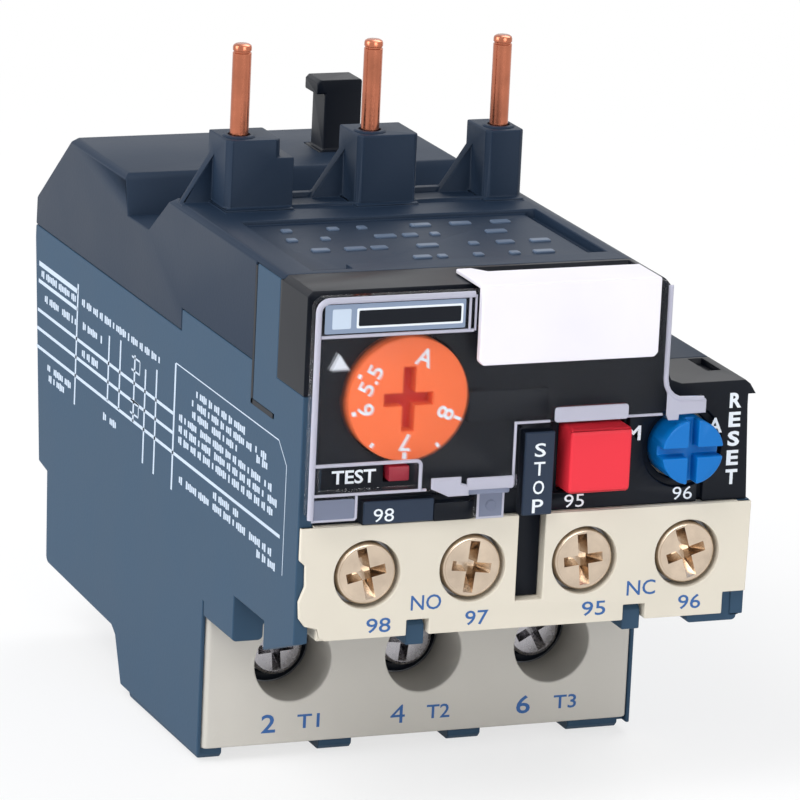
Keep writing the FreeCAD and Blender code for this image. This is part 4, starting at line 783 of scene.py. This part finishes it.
# name, text, width, height, middle, face, boldness
for name, text, wide, tall, x, z, face, bold in [
    ("aux_mark_98", "98", 2.4, 1.4, 8.1, AUX_TOP - 9.7, AUX_FACE, 0.008),
    ("aux_mark_no", "NO", 3.0, 1.45, 12.7, AUX_TOP - 7.8, AUX_FACE, 0.008),
    ("aux_mark_97", "97", 2.3, 1.4, 17.8, AUX_TOP - 9.6, AUX_FACE, 0.008),
    ("aux_mark_95", "95", 2.4, 1.4, 29.5, AUX_TOP - 9.5, AUX_FACE, 0.008),
    ("aux_mark_nc", "NC", 2.9, 1.45, 34.2, AUX_TOP - 7.8, AUX_FACE, 0.008),
    ("aux_mark_96", "96", 2.3, 1.4, 39.2, AUX_TOP - 9.5, AUX_FACE, 0.008),
    ("power_mark_2", "2", 1.45, 1.85, 7.1, POWER_MARK_Z, POWER_FACE, 0.014),
    ("power_mark_t1", "T1", 2.3, 1.4, 11.2, POWER_MARK_Z, POWER_FACE, 0.012),
    ("power_mark_4", "4", 1.5, 1.85, 20.4, POWER_MARK_Z, POWER_FACE, 0.0),
    ("power_mark_t2", "T2", 2.4, 1.4, 24.6, POWER_MARK_Z, POWER_FACE, 0.012),
    ("power_mark_6", "6", 1.45, 1.85, 33.5, POWER_MARK_Z, POWER_FACE, 0.014),
    ("power_mark_t3", "T3", 2.4, 1.4, 37.9, POWER_MARK_Z, POWER_FACE, 0.012),
]:
    words(name, text, wide, tall, x, z, face, "housing", BLUE_INK, bold=bold)


# ---- print on the left side: wiring lines, and rows of dashes where small words would be ----
def row_of_dashes(front, back, height):
    """Letter-like dashes every half millimetre from the rear to the front.

    A gap is left where the dash's number times 0.37 is just above a whole number, or where a sine of it is
    at its lowest. A second sine makes each dash tall or low."""
    pitch, tall = 0.5, 0.78
    order = np.arange(int((back - front) / pitch))
    place = back - 0.3 - order * pitch
    shown = (order * 0.37 % 1.0 > 0.13) & (np.sin(order * 0.9 + height) > -0.93)
    rise = tall * (0.78 + 0.22 * (np.sin(order * 2.3 + height * 5) > 0.3))
    spots = zip(place[shown], rise[shown] / 2)
    return [(spot, height - half, spot, height + half, 0.4) for spot, half in spots]


def side_print():
    """Conductor lines with their branches and frames, as in a wiring plate, and then the rows of dashes."""
    # depth and height of one end, of the other, and the width
    lines = [
        (76.0, 31.8, 34.6, 31.8, 0.34), (76.0, 29.9, 34.6, 29.9, 0.34), (76.0, 28.0, 5.0, 28.0, 0.34),
        (76.0, 36.6, 63.7, 36.6, 0.5), (76.0, 34.8, 63.7, 34.8, 0.4), (34.45, 24.3, 34.45, 36.8, 0.42),
        (34.4, 36.85, 6.2, 36.85, 0.12), (6.2, 36.85, 4.0, 35.0, 0.12), (4.0, 35.0, 4.0, 24.6, 0.14),
    ]
    for across, low, high in [
        (63.7, 25.0, 37.4), (53.8, 28.0, 34.6), (50.4, 28.0, 35.0), (46.1, 27.9, 34.6), (42.9, 24.6, 34.0),
        (39.7, 24.4, 34.8),
    ]:
        lines.append((across, low, across, high, 0.4))
    for low in (28.7, 33.0):
        high = low + 1.3
        lines += [(47.0, low, 44.6, low, 0.2), (47.0, high, 44.6, high, 0.2), (44.6, low, 44.6, high, 0.2)]
    printed_bars("side_wiring_lines", lines, 0.0, "housing", GREY_INK)
    # front end, rear end and height of each row
    rows = [
        (39.0, 63.0, 35.9), (63.9, 75.8, 35.7), (63.9, 74.5, 33.4), (56.0, 62.5, 33.6), (56.5, 62.5, 30.8),
        (65.0, 73.0, 26.6), (66.0, 72.5, 25.6), (51.0, 55.5, 26.2), (15.0, 29.6, 35.3), (13.0, 30.2, 34.2),
        (17.0, 30.0, 33.1), (9.0, 12.8, 34.4), (8.8, 12.4, 33.6), (7.6, 33.6, 31.9), (5.8, 33.6, 30.8),
        (7.0, 33.6, 29.7), (15.8, 23.5, 27.0), (6.8, 33.0, 25.9), (5.0, 11.4, 24.8),
    ]
    dashes = [dash for front, back, height in rows for dash in row_of_dashes(front, back, height)]
    printed_bars("side_small_rows", dashes, 0.0, "housing", GREY_INK)


side_print()

# Height of the joint of the two housings at the rear, and of the roof.
SEAM = AUX_TOP + 10.1
ROOF = corners("front_panel")[1][2]
# Black bars along the gap round the snap arm: painted shade that makes the gap look deep and wide.
printed_bars("snap_arm_gap_painted_shade", [
    (13.7, SEAM - 1.9, 13.7, ROOF - 0.7, 0.5), (8.1, SEAM - 1.7, 13.9, SEAM - 1.7, 0.5),
], 0.0, "housing", FINISHES["panel_black"])


# ---- raised dashes in the roof's recess, in a lighter colour as painted sheen ----
def roof_dashes():
    """Rows of small raised bars: chamfered rounded rectangles 0.2 mm high, whose widths follow a sine, in a
    colour lighter than the roof as a painted sheen.
    """
    recess = ROOF - 0.5
    stations = [(recess, 0), (recess + 0.12, 0), (recess + 0.2, 0.08)]
    number = 0
    # depth of a row, and where its bars start
    for depth, starts in [
        (12.6, (15.0, 17.4, 21.0, 24.6, 27.0)), (16.8, (6.5, 9.8, 12.4, 17.0, 22.2, 25.0, 28.4)),
        (21.0, (5.6, 9.0, 14.4, 17.2, 20.0, 25.6)), (24.6, (6.4, 11.0, 14.0, 19.4, 23.4, 27.6)),
    ]:
        for start in starts:
            wide = 1.5 + 0.6 * math.sin(start * 1.7 + depth)
            outline = block(wide, 1.0, 0.2, start + wide / 2, depth, 3)
            name = "roof_dash_%d" % number
            slab(name, outline, stations, "housing", LETTERING_PAINTED_SHEEN, stand=on_top)
            number += 1


roof_dashes()


# ---- room, lights and camera ----
def math_of(tree, operation, first, second):
    """Result of one operation on two outputs."""
    node = tree.nodes.new("ShaderNodeMath")
    node.operation = operation
    tree.links.new(first, node.inputs[0])
    tree.links.new(second, node.inputs[1])
    return node.outputs["Value"]


def seen_by_eye(tree):
    """1 where the camera looks straight, through a clear piece or by way of a glossy one, and otherwise 0."""
    rays = tree.nodes.new("ShaderNodeLightPath").outputs
    seen = math_of(tree, "MAXIMUM", rays["Is Camera Ray"], rays["Is Transmission Ray"])
    return math_of(tree, "MAXIMUM", seen, rays["Is Glossy Ray"])


def mixed(tree, share, usual, instead, end):
    """Mix of two shaders by a share, joined to the end of the tree."""
    mix = tree.nodes.new("ShaderNodeMixShader")
    tree.links.new(share, mix.inputs["Fac"])
    tree.links.new(usual, mix.inputs[1])
    tree.links.new(instead, mix.inputs[2])
    tree.links.new(mix.outputs["Shader"], end)


def white_to_the_eye(name, chip, keep_shadow):
    """Pale floor, white to the eye: part of the shadow is kept near the object, and it fades out to 0.3 m."""
    finish, shader, place = new_finish(name)
    tree = finish.node_tree
    shader.inputs["Base Color"].default_value = linear(*chip)
    shader.inputs["Roughness"].default_value = 0.9
    shader.inputs["Specular IOR Level"].default_value = 0.0
    glow = tree.nodes.new("ShaderNodeEmission")
    glow.inputs["Color"].default_value = WHITE_LIGHT
    away = tree.nodes.new("ShaderNodeVectorMath")
    away.operation = "LENGTH"
    tree.links.new(place.outputs["Object"], away.inputs[0])
    fade = tree.nodes.new("ShaderNodeMapRange")
    fade.inputs["From Min"].default_value = 0.07
    fade.inputs["From Max"].default_value = 0.3
    fade.inputs["To Min"].default_value = 1.0 - keep_shadow
    fade.inputs["To Max"].default_value = 1.0
    tree.links.new(away.outputs["Value"], fade.inputs["Value"])
    share = math_of(tree, "MULTIPLY", seen_by_eye(tree), fade.outputs["Result"])
    surface = tree.nodes["Material Output"].inputs["Surface"]
    mixed(tree, share, shader.outputs["BSDF"], glow.outputs["Emission"], surface)
    return finish


def floor():
    """Flat square floor: its corners lie 3 m out along both axes, 0.2 mm below the feet."""
    reach, height = 3.0, -0.0002
    sheet = bpy.data.meshes.new("floor")
    signs = [(-1, -1), (1, -1), (1, 1), (-1, 1)]
    sheet.from_pydata([(x * reach, y * reach, height) for x, y in signs], [], [[0, 1, 2, 3]])
    ground = bpy.data.objects.new("floor", sheet)
    bpy.context.scene.collection.objects.link(ground)
    sheet.materials.append(white_to_the_eye("floor_pale", (250, 250, 251), 0.3))


def room():
    """Even pale surroundings: white to the eye, softer as light."""
    world = bpy.data.worlds.new("room")
    bpy.context.scene.world = world
    world.use_nodes = True
    tree = world.node_tree
    soft = tree.nodes["Background"]
    soft.inputs["Color"].default_value = (0.95, 0.97, 1.0, 1.0)
    soft.inputs["Strength"].default_value = 0.45
    white = tree.nodes.new("ShaderNodeBackground")
    white.inputs["Color"].default_value = WHITE_LIGHT
    white.inputs["Strength"].default_value = 1.0
    surface = tree.nodes["World Output"].inputs["Surface"]
    mixed(tree, seen_by_eye(tree), soft.outputs["Background"], white.outputs["Background"], surface)


def soft_box(name, place, width, height, watts):
    """Lamp with a rectangular face, turned to the middle of the object."""
    aim = Vector((0, 0, 0.03))
    lamp = bpy.data.lights.new(name, "AREA")
    lamp.shape = "RECTANGLE"
    lamp.size = width
    lamp.size_y = height
    lamp.energy = watts
    holder = bpy.data.objects.new(name, lamp)
    holder.location = place
    holder.rotation_euler = (aim - Vector(place)).to_track_quat("-Z", "Y").to_euler()
    bpy.context.scene.collection.objects.link(holder)


def camera(place, azimuth, elevation, roll, lens):
    """Long lens on a stand: it looks level along +Y at azimuth 0, and is then turned, tipped and rolled."""
    view = bpy.data.cameras.new("camera")
    view.lens = lens
    view.sensor_width = 36.0
    view.clip_start = 0.01
    stand = bpy.data.objects.new("camera", view)
    bpy.context.scene.collection.objects.link(stand)
    turn = Matrix.Rotation(math.radians(azimuth), 4, "Z")
    tip = Matrix.Rotation(math.radians(90.0 - elevation), 4, "X")
    spin = Matrix.Rotation(math.radians(roll), 4, "Z")
    stand.matrix_world = Matrix.Translation(place) @ turn @ tip @ spin
    bpy.context.scene.camera = stand


room()
floor()
soft_box("key", (-0.55, -0.35, 0.75), 0.5, 0.5, 4.6)
soft_box("back_right", (0.5, 0.5, 0.8), 0.6, 0.4, 3.4)
soft_box("front", (0.1, -0.9, 0.25), 0.5, 0.4, 2.4)
soft_box("left", (-0.85, 0.05, 0.3), 0.5, 0.5, 3.6)
camera((-0.2180, -0.5411, 0.1858), -22.12, 14.84, 2.72, 279.3)
bpy.context.scene.view_settings.view_transform = "Standard"
